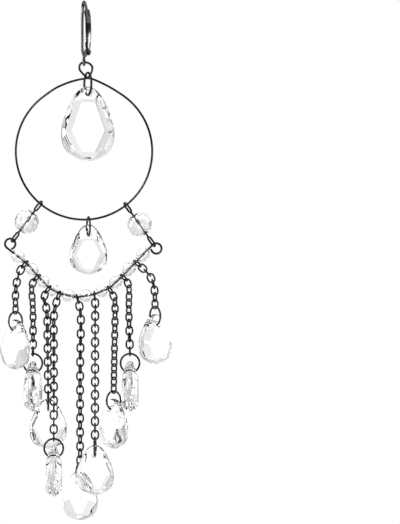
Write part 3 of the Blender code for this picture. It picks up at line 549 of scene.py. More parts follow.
def pin_line(index):
    """A pin's wire: a long loop, a straight shank and a long loop, all in one plane."""
    top, bottom = pin_ends(index)
    along, side, _ = pin_axes(index)
    reach_top = PIN_LOOP_RADIUS - (HOOP_WIRE / 2.0 + PIN_WIRE / 2.0 + CLEARANCE)
    reach_bottom = PIN_LOOP_RADIUS - (SWAG_WIRE / 2.0 + PIN_WIRE / 2.0 + CLEARANCE)
    upper = top + along * reach_top
    lower = bottom - along * reach_bottom

    def loop(centre, towards):
        stretch = towards * PIN_LOOP_STRETCH
        arc = arc_points(centre, towards, side, PIN_LOOP_RADIUS, PIN_LOOP_STEPS, PIN_LOOP_GAP, PIN_LOOP_SWEEP)
        rounds = [point + stretch if (point - centre).dot(towards) > 0.0 else point for point in arc]
        shank = [centre + stretch + (towards * ahead - side * front) * PIN_LOOP_RADIUS
                 for ahead, front in (PIN_BEND, PIN_NECK)]
        return rounds + shank

    return loop(upper, along) + list(reversed(loop(lower, -along)))


def swag_direction(index):
    """The swag wire's direction at a station."""
    corners = swag_corners()
    return (corners[index + 2] - corners[index]).normalized()


def chain_line(chain, station):
    """The smooth route of a chain: off the wire between its beads, then down to its ring."""
    lean = math.radians(chain["lean"])
    below = station + Vector((math.sin(lean), 0.0, -math.cos(lean))) * LINK_LENGTH
    route = [hoop_centre() + Vector(point) * HOOP_RADIUS for point in chain["route"]]
    return smooth_line([station, below] + route, ROUTE_STEPS)


def point_along(line, distance):
    """The point at a distance along a line, and past its end in the last direction."""
    left = distance
    for start, end in zip(line, line[1:]):
        length = (end - start).length
        if left <= length:
            return start.lerp(end, left / length)
        left -= length
    return line[-1] + (line[-1] - line[-2]).normalized() * left


def line_length(line):
    """The length of a line of points."""
    return sum((end - start).length for start, end in zip(line, line[1:]))


def chain_plan(chain, index):
    """The contact points, directions and turns of a chain's links, spread evenly on its route."""
    station = plane_point(STATIONS[index])
    line = chain_line(chain, station)
    grip = flat_radius(LINK_WIRE, SOLID_WIRE_SIDES)
    inner = LINK_LENGTH - LINK_WIRE - 2.0 * grip
    first_way = (point_along(line, LINK_LENGTH / 2.0) - station).normalized()
    square = math.sqrt(1.0 - swag_direction(index).dot(first_way) ** 2)
    above = (SWAG_WIRE / 2.0 + LINK_WIRE / 2.0 + CLEARANCE) / square
    hold = flat_radius(RING_WIRE, SOLID_WIRE_SIDES) + grip + CLEARANCE
    # From the station, the first contact lies one link's inner length below its top strand
    start = (LINK_LENGTH - LINK_WIRE) / 2.0 - above + inner / 2.0
    most = inner - LINK_PLAY
    end = line_length(line) + hold - (LINK_LENGTH - LINK_WIRE) / 2.0 - inner / 2.0
    run = end - start
    fewest = max(math.ceil(run / most), 1)
    plans = []
    for count in (fewest, fewest + 1):
        pitch = run / count
        if count > fewest and pitch < LINK_LEAST_PITCH:
            continue
        wanted = 90.0 + chain["drop_turn"] - chain["top_turn"] - 90.0 * (count + 1)
        turn = (wanted + 90.0) % 180.0 - 90.0
        plans.append((abs(turn), count, pitch, turn))
    _, count, pitch, turn = min(plans)
    contacts = [point_along(line, start + pitch * number) for number in range(count + 1)]
    return {"first_way": first_way, "contacts": contacts, "turn": turn / (count + 1),
            "links": count + 2, "inner": inner, "hold": hold}


def chain_links(chain, plan):
    """The middle, way down and normal of each link of a chain."""
    contacts = plan["contacts"]
    links = []
    for number in range(plan["links"]):
        if number == 0:
            down = plan["first_way"]
            middle = contacts[0] - down * (plan["inner"] / 2.0)
        elif number == plan["links"] - 1:
            down = (contacts[-1] - contacts[-2]).normalized()
            middle = contacts[-1] + down * (plan["inner"] / 2.0)
        else:
            down = (contacts[number] - contacts[number - 1]).normalized()
            middle = (contacts[number] + contacts[number - 1]) / 2.0
        yaw = math.radians(chain["top_turn"] + number * (90.0 + plan["turn"]))
        first = (X_AXIS - down * X_AXIS.dot(down)).normalized()
        normal = first * math.cos(yaw) + down.cross(first) * -math.sin(yaw)
        links.append((middle, down, normal))
    return links


def chain_bottom(links):
    """The middle of the wire at the bottom of the last link."""
    middle, down, _ = links[-1]
    return middle + down * ((LINK_LENGTH - LINK_WIRE) / 2.0)


def swag_wire_points(steps):
    """The swag wire: straight through each bead, bent at each chain, with an eyelet at each end."""
    corners = swag_corners()
    line = []
    reach = BEAD_GAP / 2.0
    for index in range(1, len(corners) - 1):
        corner = corners[index]
        before = (corners[index - 1] - corner).normalized()
        after = (corners[index + 1] - corner).normalized()
        for step in range(steps + 1):
            t = step / steps
            line.append((corner + before * reach) * (1.0 - t) ** 2 + corner * (2.0 * t * (1.0 - t))
                        + (corner + after * reach) * t ** 2)
    return eyelet_line(0, FINE_ROUND) + line + list(reversed(eyelet_line(1, FINE_ROUND)))


# Finer numbers of sides and steps than the solids have
FINE_SIDES = 12
FINE_LINK_SIDES = 10
FINE_ROUND = 48
FINE_STEPS = 8
FINE_HOOP_STEPS = 200
FINE_LINK_STEPS = 7
FINE_PIN_STEPS = 5
CAP_STEPS = 3
SMOOTH_ANGLE = math.radians(50.0)

# Wires that are drawn thinner or thicker than in the solids, by what the photograph shows
FINE_LINK_WIRE = 0.45 * MM
FINE_SWAG_WIRE = 0.56 * MM

# The fine cut where a jump ring's ends meet, and its place round the ring
RING_CUT = math.radians(1.6)
RING_CUT_PLACE = math.radians(128.0)

# Leverback: the base's rounded edge, the lever's rounded corners, and the dome of the rivet's head
# from its top down, as shares of the head's height and radius
BASE_EDGE = 0.10 * MM
LEVER_CORNER = 0.38 * MM
LEVER_CORNER_SHARE = 0.8
LEVER_LEAST_FILLET = 0.02 * MM
LEVER_CORNER_STEPS = 5
LEVER_SMOOTH_ANGLE = math.radians(35.0)
RIVET_SIDES = 24
RIVET_DOME = ((1.0, 0.0), (0.9, 0.55), (0.55, 0.88), (0.1, 1.0), (0.0, 0.94))


# Meshes

def piece(name, mesh, materials, body, node, matrix=None):
    """Put a mesh into the scene in the place of a node, on its body."""
    for material in materials:
        mesh.materials.append(material)
    thing = bpy.data.objects.new(name, mesh)
    bpy.context.scene.collection.objects.link(thing)
    thing.matrix_world = matrix or Matrix.Identity(4)
    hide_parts(node)
    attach(thing, body)


def metal_piece(name, bm, metal, node, body="earring", angle=SMOOTH_ANGLE):
    """Put a smoothly shaded piece of metal into the scene."""
    piece(name, finish_mesh(name, bm, angle), metal, body, node)


def join_rings(bm, rings):
    """Add the faces between neighbouring rings of corners."""
    for first, second in zip(rings, rings[1:]):
        for index in range(len(first)):
            turn = (index + 1) % len(first)
            bm.faces.new((first[index], first[turn], second[turn], second[index]))


def cap_end(bm, ring, centre, along, radius):
    """Close a wire's end with a small dome."""
    rings = [ring]
    offsets = [corner.co - centre for corner in ring]
    for step in range(1, CAP_STEPS):
        angle = math.pi / 2.0 * step / CAP_STEPS
        rings.append([bm.verts.new(centre + offset * math.cos(angle) + along * (radius * math.sin(angle)))
                      for offset in offsets])
    tip = bm.verts.new(centre + along * radius)
    join_rings(bm, rings)
    last = rings[-1]
    for index in range(len(last)):
        bm.faces.new((last[index], last[(index + 1) % len(last)], tip))


def add_wire(bm, points, normal, diameter, sides=FINE_SIDES, closed=False):
    """Add a round wire along a line; open ends get domes."""
    count = len(points)
    radius = diameter / 2.0
    rings = []
    ways = []
    for index, point in enumerate(points):
        before = points[(index - 1) % count] if closed or index > 0 else point
        after = points[(index + 1) % count] if closed or index + 1 < count else point
        along = (after - before).normalized()
        outward = along.cross(normal).normalized()
        across = outward.cross(along).normalized()
        ring = []
        for side in range(sides):
            angle = 2.0 * math.pi * side / sides
            ring.append(bm.verts.new(point + (outward * math.cos(angle) + across * math.sin(angle)) * radius))
        rings.append(ring)
        ways.append(along)
    join_rings(bm, rings + rings[:1] if closed else rings)
    if not closed:
        cap_end(bm, rings[0], points[0], -ways[0], radius)
        cap_end(bm, rings[-1], points[-1], ways[-1], radius)


def oval_points(centre, down, normal, length, width, steps):
    """A link's wire: two straight sides and two half rounds."""
    across = normal.cross(down).normalized()
    radius = width / 2.0
    straight = length / 2.0 - radius
    points = []
    for end in (1.0, -1.0):
        for step in range(steps + 1):
            angle = math.pi * step / steps
            points.append(centre + across * (radius * math.cos(angle) * end)
                          + down * ((straight + radius * math.sin(angle)) * end))
    return points


# Leverback

def fine_base(bm):
    """The base between heel and rivet: a tapered plate with rounded edges."""
    back, across = leverback_axes()
    half = base_half_width()
    part = bmesh.new()
    for side in (-1.0, 1.0):
        for depth, inset in ((half - BASE_EDGE, 0.0), (half, BASE_EDGE)):
            for centre, radius in ((heel_point(), BASE_HEEL_RADIUS), (pivot_point(), BASE_TONGUE_RADIUS)):
                for point in circle_points(centre + across * (side * depth), back, Z_AXIS,
                                           radius - inset, FINE_ROUND):
                    part.verts.new(point / MM)
    result = bmesh.ops.convex_hull(part, input=part.verts)
    spare = {item for item in result["geom_interior"] + result["geom_unused"]
             if isinstance(item, bmesh.types.BMVert)}
    bmesh.ops.delete(part, geom=list(spare), context="VERTS")
    bmesh.ops.transform(part, matrix=Matrix.Scale(MM, 4), verts=part.verts)
    mesh = bpy.data.meshes.new("part")
    part.to_mesh(mesh)
    part.free()
    bm.from_mesh(mesh)
    bpy.data.meshes.remove(mesh)


def fine_rivet(bm):
    """The rivet's shaft and its two domed heads."""
    back, across = leverback_axes()
    shaft = LEVER_FOOT_WIDTH / 2.0 + CLEARANCE
    rows = [(-shaft - RIVET_HEAD * high, share) for high, share in RIVET_DOME]
    rows.append((-shaft, RIVET_RADIUS / RIVET_HEAD_RADIUS))
    rows = rows + [(-along, share) for along, share in reversed(rows)]
    rings = []
    for along, share in rows:
        middle = pivot_point() + across * along
        if share == 0.0:
            rings.append([bm.verts.new(middle)])
        else:
            rings.append([bm.verts.new(point) for point in
                          circle_points(middle, back, Z_AXIS, RIVET_HEAD_RADIUS * share, RIVET_SIDES)])
    for index in range(RIVET_SIDES):
        turn = (index + 1) % RIVET_SIDES
        bm.faces.new((rings[0][0], rings[1][turn], rings[1][index]))
    join_rings(bm, rings[1:-1])
    for index in range(RIVET_SIDES):
        turn = (index + 1) % RIVET_SIDES
        bm.faces.new((rings[-2][index], rings[-2][turn], rings[-1][0]))


def fine_ear_wire(metal):
    """The ear wire, its base, the rivet and the hanger ring."""
    back, across = leverback_axes()
    bm = bmesh.new()
    add_wire(bm, smooth_line(ear_wire_line(), FINE_STEPS), across, EAR_WIRE)
    fine_base(bm)
    ring = circle_points(hanger_centre(), back, Z_AXIS, hanger_radius(), FINE_ROUND)
    add_wire(bm, ring, across, HANGER_WIRE, FINE_SIDES, True)
    fine_rivet(bm)
    metal_piece("leverback_wire", bm, metal, "ear_wire")


def lever_profile(width, depth):
    """The lever's channel: across and deep, round its outer corners, mouth to mouth and back."""
    half = width / 2.0
    inner = width / 2.0 - LEVER_SHEET
    web = -depth / 2.0
    mouth = depth / 2.0

    def corners(wall, floor, radius):
        arc = []
        for step in range(LEVER_CORNER_STEPS + 1):
            angle = math.pi / 2.0 * step / LEVER_CORNER_STEPS
            arc.append((wall - radius + radius * math.cos(angle), floor + radius - radius * math.sin(angle)))
        return [(-across, deep) for across, deep in arc] + list(reversed(arc))

    corner = min(LEVER_CORNER, half * LEVER_CORNER_SHARE)
    outside = corners(half, web, corner)
    inside = corners(inner, web + LEVER_SHEET, max(corner - LEVER_SHEET, LEVER_LEAST_FILLET))
    return ([(-half, mouth)] + outside + [(half, mouth), (inner, mouth)] + list(reversed(inside))
            + [(-inner, mouth)])


def fine_lever(metal):
    """The lever: a smooth channel with rounded edges, closed at its ends."""
    _, across = leverback_axes()
    corners = lever_line()
    line = smooth_line(corners, FINE_STEPS)
    last = len(line) - 1
    bm = bmesh.new()
    rings = []
    for index, point in enumerate(line):
        inside = lever_inside(line, index)
        share = index / last * (len(corners) - 1) - (len(corners) - 1 - LEVER_FOOT_ROWS)
        share = min(max(share, 0.0), 1.0)
        depth = LEVER_DEPTH + (LEVER_FOOT_DEPTH - LEVER_DEPTH) * share
        width = LEVER_WIDTH + (LEVER_FOOT_WIDTH - LEVER_WIDTH) * share
        rings.append([bm.verts.new(point + across * side + inside * deep)
                      for side, deep in lever_profile(width, depth)])
    join_rings(bm, rings)
    bm.faces.new(rings[0])
    bm.faces.new(rings[-1])
    metal_piece("leverback_lever", bm, metal, "lever", "lever", LEVER_SMOOTH_ANGLE)


# Hoop and other wires

def fine_hoop(metal):
    """The hoop's wire."""
    bm = bmesh.new()
    add_wire(bm, hoop_line(FINE_STEPS, FINE_HOOP_STEPS), Y_AXIS, HOOP_WIRE, FINE_SIDES, True)
    metal_piece("hoop_wire", bm, metal, "hoop")


def fine_swag_wire(metal):
    """The swag wire with its two eyelets."""
    bm = bmesh.new()
    add_wire(bm, swag_wire_points(FINE_STEPS), Y_AXIS, FINE_SWAG_WIRE)
    metal_piece("swag_line", bm, metal, "swag_wire")


def fine_side_pins(metal):
    """The two looped pins."""
    for index, side in enumerate(("left", "right")):
        _, _, normal = pin_axes(index)
        bm = bmesh.new()
        add_wire(bm, smooth_line(pin_line(index), FINE_PIN_STEPS), normal, PIN_WIRE)
        metal_piece(f"pin_{side}", bm, metal, f"side_pin_{side}")


def fine_ring(name, node, body, top, ring_yaw, radius, wire, metal):
    """A jump ring with the fine cut where its ends meet."""
    centre = top - Z_AXIS * radius
    plane = turned(ring_yaw) @ Y_AXIS
    normal = turned(ring_yaw) @ X_AXIS
    points = []
    for step in range(FINE_ROUND + 1):
        angle = RING_CUT_PLACE + RING_CUT / 2.0 + (2.0 * math.pi - RING_CUT) * step / FINE_ROUND
        points.append(centre + (plane * math.cos(angle) + Z_AXIS * math.sin(angle)) * radius)
    bm = bmesh.new()
    add_wire(bm, points, normal, wire)
    metal_piece(name, bm, metal, node, body)


def fine_drop(names, nodes, top, yaws, sizes, looks, bodies=("earring", "earring")):
    """A ring and the stone that hangs on it, each with its name, node, turn and body."""
    radius, wire, shape = sizes
    mesh, metal, crystal = looks
    fine_ring(names[0], nodes[0], bodies[0], top, yaws[0], radius, wire, metal)
    hole = top - Z_AXIS * (2.0 * radius - shape["lift"])
    matrix = Matrix.Translation(hole) @ turned(yaws[1])
    piece(names[1], mesh.copy(), crystal, bodies[1], nodes[1], matrix)


def fine_chains(looks):
    """Nine chains of real links with their jump rings and stones."""
    for index, chain in enumerate(CHAINS):
        number = index + 1
        plan = chain_plan(chain, index)
        links = chain_links(chain, plan)
        bm = bmesh.new()
        for middle, down, normal in links:
            points = oval_points(middle, down, normal, LINK_LENGTH - FINE_LINK_WIRE,
                                 LINK_WIDTH - FINE_LINK_WIRE, FINE_LINK_STEPS)
            add_wire(bm, points, normal, FINE_LINK_WIRE, FINE_LINK_SIDES, True)
        metal_piece(f"links_{number}", bm, looks[1], f"chain_{number}")
        top = chain_bottom(links) + Z_AXIS * plan["hold"]
        yaw = math.radians(chain["drop_turn"])
        fine_drop((f"ring_{number}", f"stone_{number}"), (f"jump_ring_{number}", f"pear_{number}"), top,
                  (yaw, yaw), (RING_RADIUS, RING_WIRE, small_shape()), looks)


# Stones. They are cut in millimetres, because the cuts are finer than a metre's rounding allows.

# The rounded edge of a stone: how far from its middle plane, as shares of the tip's half thickness,
# and how far inside the outline in millimetres
GIRDLE = (
    (0.00, 0.00),
    (0.35, 0.04),
    (0.65, 0.13),
    (3.00, 1.30),
)
OUTLINE_STEPS = 4
ROUND_EDGE_ANGLE = math.radians(10.0)

# The height that the facets are set round, as a share of the stone's from its tip
STONE_MIDDLE = 0.60

# Where the small facets at the table's corners start on the way out, at the tip and elsewhere, and
# how thin they leave the edge
TIP_BREAK_START = 0.12
BREAK_START = 0.60
BREAK_EDGE = 0.86

# Outline points nearer to a facet's upper line than this, in millimetres, don't limit its slope
LEAST_REACH = 0.05
SLACK = 1e-6
PARALLEL = 1e-12

# The drawn hole and the reach of its wall, as shares of the solid's hole
BORE_ROOM = 1.06
HOLE_WALL = 1.2

# A face of a stone is its table above the first of these shares of facing forwards, and its edge below the
# second. Faces below the first get a light painted shade, and the edge a heavy one
FACET_SHADE_BELOW = 0.999
EDGE_SHADE_BELOW = 0.70


def outline_points(shape, steps):
    """The smooth pear outline, from the tip round, in the stone's own plane."""
    right = [Vector((across * shape["width"] / 2.0, 0.0, shape["tip_above_hole"] - down * shape["height"]))
             for across, down, _ in PEAR_OUTLINE]
    left = [Vector((-point.x, 0.0, point.z)) for point in reversed(right)]
    return smooth_line(right + left, steps, True)


def rim_share(down):
    """The stone's thickness at its edge, as a share of the tip's, at a share of its height."""
    for (_, upper, first), (_, lower, second) in zip(PEAR_OUTLINE, PEAR_OUTLINE[1:]):
        if down <= lower:
            share = (down - upper) / (lower - upper)
            return first + (second - first) * max(share, 0.0)
    return PEAR_OUTLINE[-1][2]


def rim_point(outline, middle, way):
    """Where a ray from the middle meets the outline."""
    best = None
    for index in range(len(outline)):
        first, second = outline[index], outline[(index + 1) % len(outline)]
        edge = second - first
        across = way.x * edge.z - way.z * edge.x
        if abs(across) < PARALLEL:
            continue
        offset = first - middle
        distance = (offset.x * edge.z - offset.z * edge.x) / across
        share = (offset.x * way.z - offset.z * way.x) / across
        if distance > 0.0 and -SLACK <= share <= 1.0 + SLACK:
            best = middle + way * distance
    return best


def rim_plane(start, along, middle, face, outline, edges):
    """A facet from a line down to the stone's edge, as steep as it can be without cutting the outline."""
    out = Vector((along.z, 0.0, -along.x)).normalized()
    if out.dot(start - middle) < 0.0:
        out = -out
    top = abs(start.y)
    slopes = []
    for point, edge in zip(outline, edges):
        reach = out.dot(Vector((point.x - start.x, 0.0, point.z - start.z)))
        if reach > LEAST_REACH:
            slopes.append((top - edge) / reach)
    return start, (out * min(slopes) + Y_AXIS * face).normalized()


def plane_height(spot, plane, face):
    """How far from the stone's middle plane a facet lies at a spot."""
    point, outward = plane
    flat = Vector((spot.x - point.x, 0.0, spot.z - point.z))
    return face * (point.y - outward.dot(flat) / outward.y)


def cut_plane(bm, point, outward):
    """Cut a facet: take away what lies outside a plane, and close the cut."""
    geometry = list(bm.verts) + list(bm.edges) + list(bm.faces)
    result = bmesh.ops.bisect_plane(bm, geom=geometry, dist=SLACK, plane_co=point, plane_no=outward,
                                    clear_outer=True)
    edges = [item for item in result["geom_cut"] if isinstance(item, bmesh.types.BMEdge)]
    if edges:
        bmesh.ops.contextual_create(bm, geom=edges)


def stone_blank(outline, edge):
    """The stone before it is cut: the outline with its rounded edge, thick enough for both tables."""
    bm = bmesh.new()
    rows = [(-deep * edge, inset) for deep, inset in reversed(GIRDLE)]
    rows += [(deep * edge, inset) for deep, inset in GIRDLE[1:]]
    rings = []
    for deep, inset in rows:
        ring = []
        for index, point in enumerate(outline):
            along = (outline[(index + 1) % len(outline)] - outline[index - 1]).normalized()
            spot = point + Vector((along.z, 0.0, -along.x)) * inset
            ring.append(bm.verts.new((spot.x, deep, spot.z)))
        rings.append(ring)
    bm.faces.new(rings[0])
    bm.faces.new(list(reversed(rings[-1])))
    for first, second in zip(rings, rings[1:]):
        for index in range(len(outline)):
            turn = (index + 1) % len(outline)
            bm.faces.new((first[index], second[index], second[turn], first[turn]))
    bmesh.ops.recalc_face_normals(bm, faces=bm.faces)
    return bm


def bore_tool(radius, length):
    """A round cylinder along Y to cut a stone's hole with."""
    bm = bmesh.new()
    rings = [[bm.verts.new(point) for point in
              circle_points(Y_AXIS * (length * end), Z_AXIS, X_AXIS, radius, FINE_ROUND)]
             for end in (-0.5, 0.5)]
    join_rings(bm, rings)
    bm.faces.new(rings[0])
    bm.faces.new(rings[1])
    tool = bpy.data.objects.new("bore", finish_mesh("bore", bm))
    bpy.context.scene.collection.objects.link(tool)
    return tool


def stone_mesh(name, shape):
    """A cut pear: both faces with a table, a row of main facets and a small one at each corner."""
    scale = 1.0 / MM
    half_width = shape["width"] / 2.0 * scale
    half_deep = shape["thickness"] / 2.0 * scale
    edge = shape["tip"] / 2.0 * scale
    height = shape["height"] * scale
    lift = shape["tip_above_hole"] * scale
    outline = [point * scale for point in outline_points(shape, OUTLINE_STEPS)]
    edges = [edge * rim_share((lift - point.z) / height) for point in outline]
    thin_edges = [share * BREAK_EDGE for share in edges]
    middle = Vector((0.0, 0.0, lift - STONE_MIDDLE * height))
    right = [(across, shape["table_top"] if down is None else down) for across, down in TABLE_CORNERS]
    table = right + [(-across, down) for across, down in reversed(right)]
    bm = stone_blank(outline, edge)
    cut_plane(bm, Vector((0.0, -half_deep, 0.0)), -Y_AXIS)
    cut_plane(bm, Vector((0.0, half_deep, 0.0)), Y_AXIS)
    for face in (-1.0, 1.0):
        ring = [Vector((across * half_width, face * half_deep, lift - down * height))
                for across, down in table]
        planes = []
        for first, second in zip(ring, ring[1:] + ring[:1]):
            planes.append(rim_plane(first, second - first, middle, face, outline, edges))
        for point, outward in planes:
            cut_plane(bm, point, outward)
        for index, corner in enumerate(ring):
            way = Vector((corner.x - middle.x, 0.0, corner.z - middle.z)).normalized()
            rim = rim_point(outline, middle, way)
            share = TIP_BREAK_START if index in (0, len(ring) - 1) else BREAK_START
            start = corner.lerp(Vector((rim.x, corner.y, rim.z)), share)
            start.y = face * min(plane_height(start, plane, face) for plane in planes)
            along = Vector((-way.z, 0.0, way.x))
            cut_plane(bm, *rim_plane(start, along, middle, face, outline, thin_edges))
    bmesh.ops.transform(bm, matrix=Matrix.Scale(MM, 4), verts=bm.verts)
    stone = bpy.data.objects.new("stone", finish_mesh(name, bm))
    bpy.context.scene.collection.objects.link(stone)
    cut_away(stone, bore_tool(shape["bore"] * BORE_ROOM, 2.0 * shape["thickness"]))
    mesh = stone.data
    mesh.name = name
    mesh.shade_smooth()
    mesh.set_sharp_from_angle(angle=ROUND_EDGE_ANGLE)
    # Painted shade by facing: the table stays clear, the other facets and the hole's wall get a light grey
    # tint, and the steep edge a dark one that draws the stone's grey outline
    for polygon in mesh.polygons:
        flat = abs(polygon.normal.y)
        away = math.hypot(polygon.center.x, polygon.center.z)
        if flat > FACET_SHADE_BELOW:
            polygon.material_index = 0
        elif flat > EDGE_SHADE_BELOW or away < HOLE_WALL * shape["bore"]:
            polygon.material_index = 1
        else:
            polygon.material_index = 2
    bpy.data.objects.remove(stone, do_unlink=True)
    return mesh


# Beads. The rows of a bead's corners: along it as a share of half its length, out as a share of its
# radius, and turned in facets. Of every five facets, the ones with these numbers are a little greyer, as
# painted shade.
BEAD_SIDES = 12
BARREL_ROWS = ((-0.52, 0.86, 0.5), (0.0, 1.0, 0.0), (0.52, 0.86, 0.5))
ROUND_ROWS = ((-0.72, 0.74, 0.5), (-0.30, 0.97, 0.0), (0.30, 0.97, 0.5), (0.72, 0.74, 0.0))
HALF_FACET = 0.5
BEAD_PATTERN = 5
PAINTED_SHADE_FACETS = (0, 3)


def bead_mesh(name, length, radius, end_radius, bore_radius, rows):
    """A cut bead with a smooth bore along X: rows of facets, each turned half a step."""
    bm = bmesh.new()
    half = length / 2.0
    end_turn = rows[-1][2] - HALF_FACET
    profile = [(-half, bore_radius, 0.0), (-half, end_radius, 0.0)]
    profile += [(half * along, radius * share, turn) for along, share, turn in rows]
    profile += [(half, end_radius, end_turn), (half, bore_radius, end_turn)]
    rings = []
    for along, distance, turn in profile:
        ring = []
        for index in range(BEAD_SIDES):
            angle = 2.0 * math.pi * (index + turn) / BEAD_SIDES
            ring.append(bm.verts.new((along, distance * math.cos(angle), distance * math.sin(angle))))
        rings.append(ring)
    for number, ring in enumerate(rings):
        after = (number + 1) % len(rings)
        following = rings[after]
        shift = profile[after][2] - profile[number][2]
        for index in range(BEAD_SIDES):
            turn = (index + 1) % BEAD_SIDES
            if shift == 0.0:
                bm.faces.new((ring[index], ring[turn], following[turn], following[index]))
            elif shift < 0.0:
                bm.faces.new((ring[index], following[turn], following[index]))
                bm.faces.new((ring[index], ring[turn], following[turn]))
            else:
                bm.faces.new((ring[index], ring[turn], following[index]))
                bm.faces.new((ring[turn], following[turn], following[index]))
    mesh = finish_mesh(name, bm)
    for polygon in mesh.polygons:
        # Painted shade: the numbered facets of every five are tinted greyer
        polygon.material_index = 1 if polygon.index % BEAD_PATTERN in PAINTED_SHADE_FACETS else 0
    return mesh


def bead_piece(name, node, ends, mesh, glass):
    """Put a bead into the scene, in the middle between two ends and along them."""
    start, end = ends
    matrix = axis_matrix((start + end) / 2.0, (end - start).normalized())
    piece(name, mesh, glass, "earring", node, matrix)


def fine_side_beads(glass):
    """The two round beads on the pins."""
    for index, side in enumerate(("left", "right")):
        name = f"round_bead_{side}"
        mesh = bead_mesh(name, SIDE_BEAD_LENGTH, SIDE_BEAD_RADIUS, SIDE_BEAD_END,
                         PIN_WIRE / 2.0 + CLEARANCE, ROUND_ROWS)
        bead_piece(name, f"side_bead_{side}", pin_ends(index), mesh, glass)


def fine_swag_beads(glass):
    """The ten barrel beads of the swag wire."""
    for index in range(len(STATIONS) + 1):
        start, end = bead_span(index)
        name = f"barrel_{index + 1}"
        mesh = bead_mesh(name, (end - start).length, SWAG_BEAD_RADIUS, SWAG_BEAD_END,
                         SWAG_WIRE / 2.0 + CLEARANCE, BARREL_ROWS)
        bead_piece(name, f"swag_bead_{index + 1}", (start, end), mesh, glass)


# Finishes: the size of the unevenness, where its greys begin and end, and its least and most roughness
PLATING_CLOUDS = 160.0
PLATING_CLOUD_DETAIL = 2.0
PLATING_STOPS = (0.35, 0.70)
PLATING_ROUGHNESS = (0.14, 0.24)
PLATING_GRAIN = 1500.0
PLATING_GRAIN_DETAIL = 2.0
PLATING_GRAIN_STRENGTH = 0.05
PLATING_GRAIN_DEPTH = 0.00002
GLASS_CLOUDS = 350.0
GLASS_CLOUD_DETAIL = 3.0
GLASS_STOPS = (0.0, 1.0)
GLASS_ROUGHNESS = (0.0, 0.04)
GLASS_CLOUD_CLARITY = 0.98
CRYSTAL_INDEX = 1.56
BEAD_INDEX = 1.42

# The darkest and the lightest grey of the plating, and how much light the parts of a stone and of a bead let
# through. Below one this is painted shade: on a stone's facets and, heavily, its edge, and on a bead's greyer
# facets
BLACK_NICKEL = (0.022, 0.042)
BRIGHT_NICKEL = (0.08, 0.14)
CRYSTAL_CLARITY_AND_SHADE = (("table", 1.0), ("facet", 0.98), ("edge", 0.60))
BEAD_CLARITY_AND_SHADE = (("glass", 1.0), ("facet", 0.88))


def new_material(name):
    """An empty node material with its shader, nodes and links."""
    material = bpy.data.materials.new(name)
    material.use_nodes = True
    tree = material.node_tree
    return material, tree.nodes["Principled BSDF"], tree.nodes, tree.links


def noise(nodes, links, scale, detail):
    """A cloudy pattern that is fixed to the piece."""
    place = nodes.new("ShaderNodeTexCoord")
    cloud = nodes.new("ShaderNodeTexNoise")
    cloud.inputs["Scale"].default_value = scale
    cloud.inputs["Detail"].default_value = detail
    links.new(place.outputs["Object"], cloud.inputs["Vector"])
    return cloud.outputs["Fac"]


def uneven_finish(nodes, links, shader, pattern, stops, greys, roughness):
    """Let the shader's grey and its roughness follow a pattern."""
    tint = nodes.new("ShaderNodeValToRGB")
    for element, position, grey in zip(tint.color_ramp.elements, stops, greys):
        element.position = position
        element.color = (grey, grey, grey, 1.0)
    links.new(pattern, tint.inputs["Fac"])
    links.new(tint.outputs["Color"], shader.inputs["Base Color"])
    gloss = nodes.new("ShaderNodeMapRange")
    gloss.inputs["To Min"].default_value = roughness[0]
    gloss.inputs["To Max"].default_value = roughness[1]
    links.new(pattern, gloss.inputs["Value"])
    links.new(gloss.outputs["Result"], shader.inputs["Roughness"])


def plated_metal(name, greys):
    """Nickel plating: glossy, slightly uneven and worn."""
    material, shader, nodes, links = new_material(name)
    cloud = noise(nodes, links, PLATING_CLOUDS, PLATING_CLOUD_DETAIL)
    uneven_finish(nodes, links, shader, cloud, PLATING_STOPS, greys, PLATING_ROUGHNESS)
    grain = noise(nodes, links, PLATING_GRAIN, PLATING_GRAIN_DETAIL)
    bump = nodes.new("ShaderNodeBump")
    bump.inputs["Strength"].default_value = PLATING_GRAIN_STRENGTH
    bump.inputs["Distance"].default_value = PLATING_GRAIN_DEPTH
    links.new(grain, bump.inputs["Height"])
    links.new(bump.outputs["Normal"], shader.inputs["Normal"])
    shader.inputs["Metallic"].default_value = 1.0
    return material


def clear_glass(name, index, clarity_and_shade):
    """Clear glass with a faintly uneven polish, which lets through a share of the light; a share below one is
    painted shade.
    """
    material, shader, nodes, links = new_material(name)
    cloud = noise(nodes, links, GLASS_CLOUDS, GLASS_CLOUD_DETAIL)
    greys = (GLASS_CLOUD_CLARITY * clarity_and_shade, clarity_and_shade)
    uneven_finish(nodes, links, shader, cloud, GLASS_STOPS, greys, GLASS_ROUGHNESS)
    shader.inputs["IOR"].default_value = index
    shader.inputs["Transmission Weight"].default_value = 1.0
    return material


# Studio: the camera frames what the photograph does
PIXEL = 0.25 * MM
FRAME_PIXELS = 524
FRAME_HEIGHT = FRAME_PIXELS * PIXEL
CAMERA_PLACE = (29.0 * MM, -1.0, -65.0 * MM)
CAMERA_CLIP = (0.01, 20.0)
SENSOR = 36.0
FLOOR_RADIUS = 0.5
FLOOR_SIDES = 96
FLOOR_HEIGHT = -0.165
FLOOR_GREY = 0.85
FLOOR_ROUGHNESS = 0.8
WHITE = (1.0, 1.0, 1.0, 1.0)

# Lights: their names, places, sizes and watts, and the point that they are aimed at
LIGHTS = (
    ("key", (-0.45, -0.6, 0.35), 0.35, 6.0),
    ("fill", (0.6, -0.3, -0.05), 0.25, 2.0),
)
LIGHT_AIM = Vector((0.0, 0.0, -0.06))

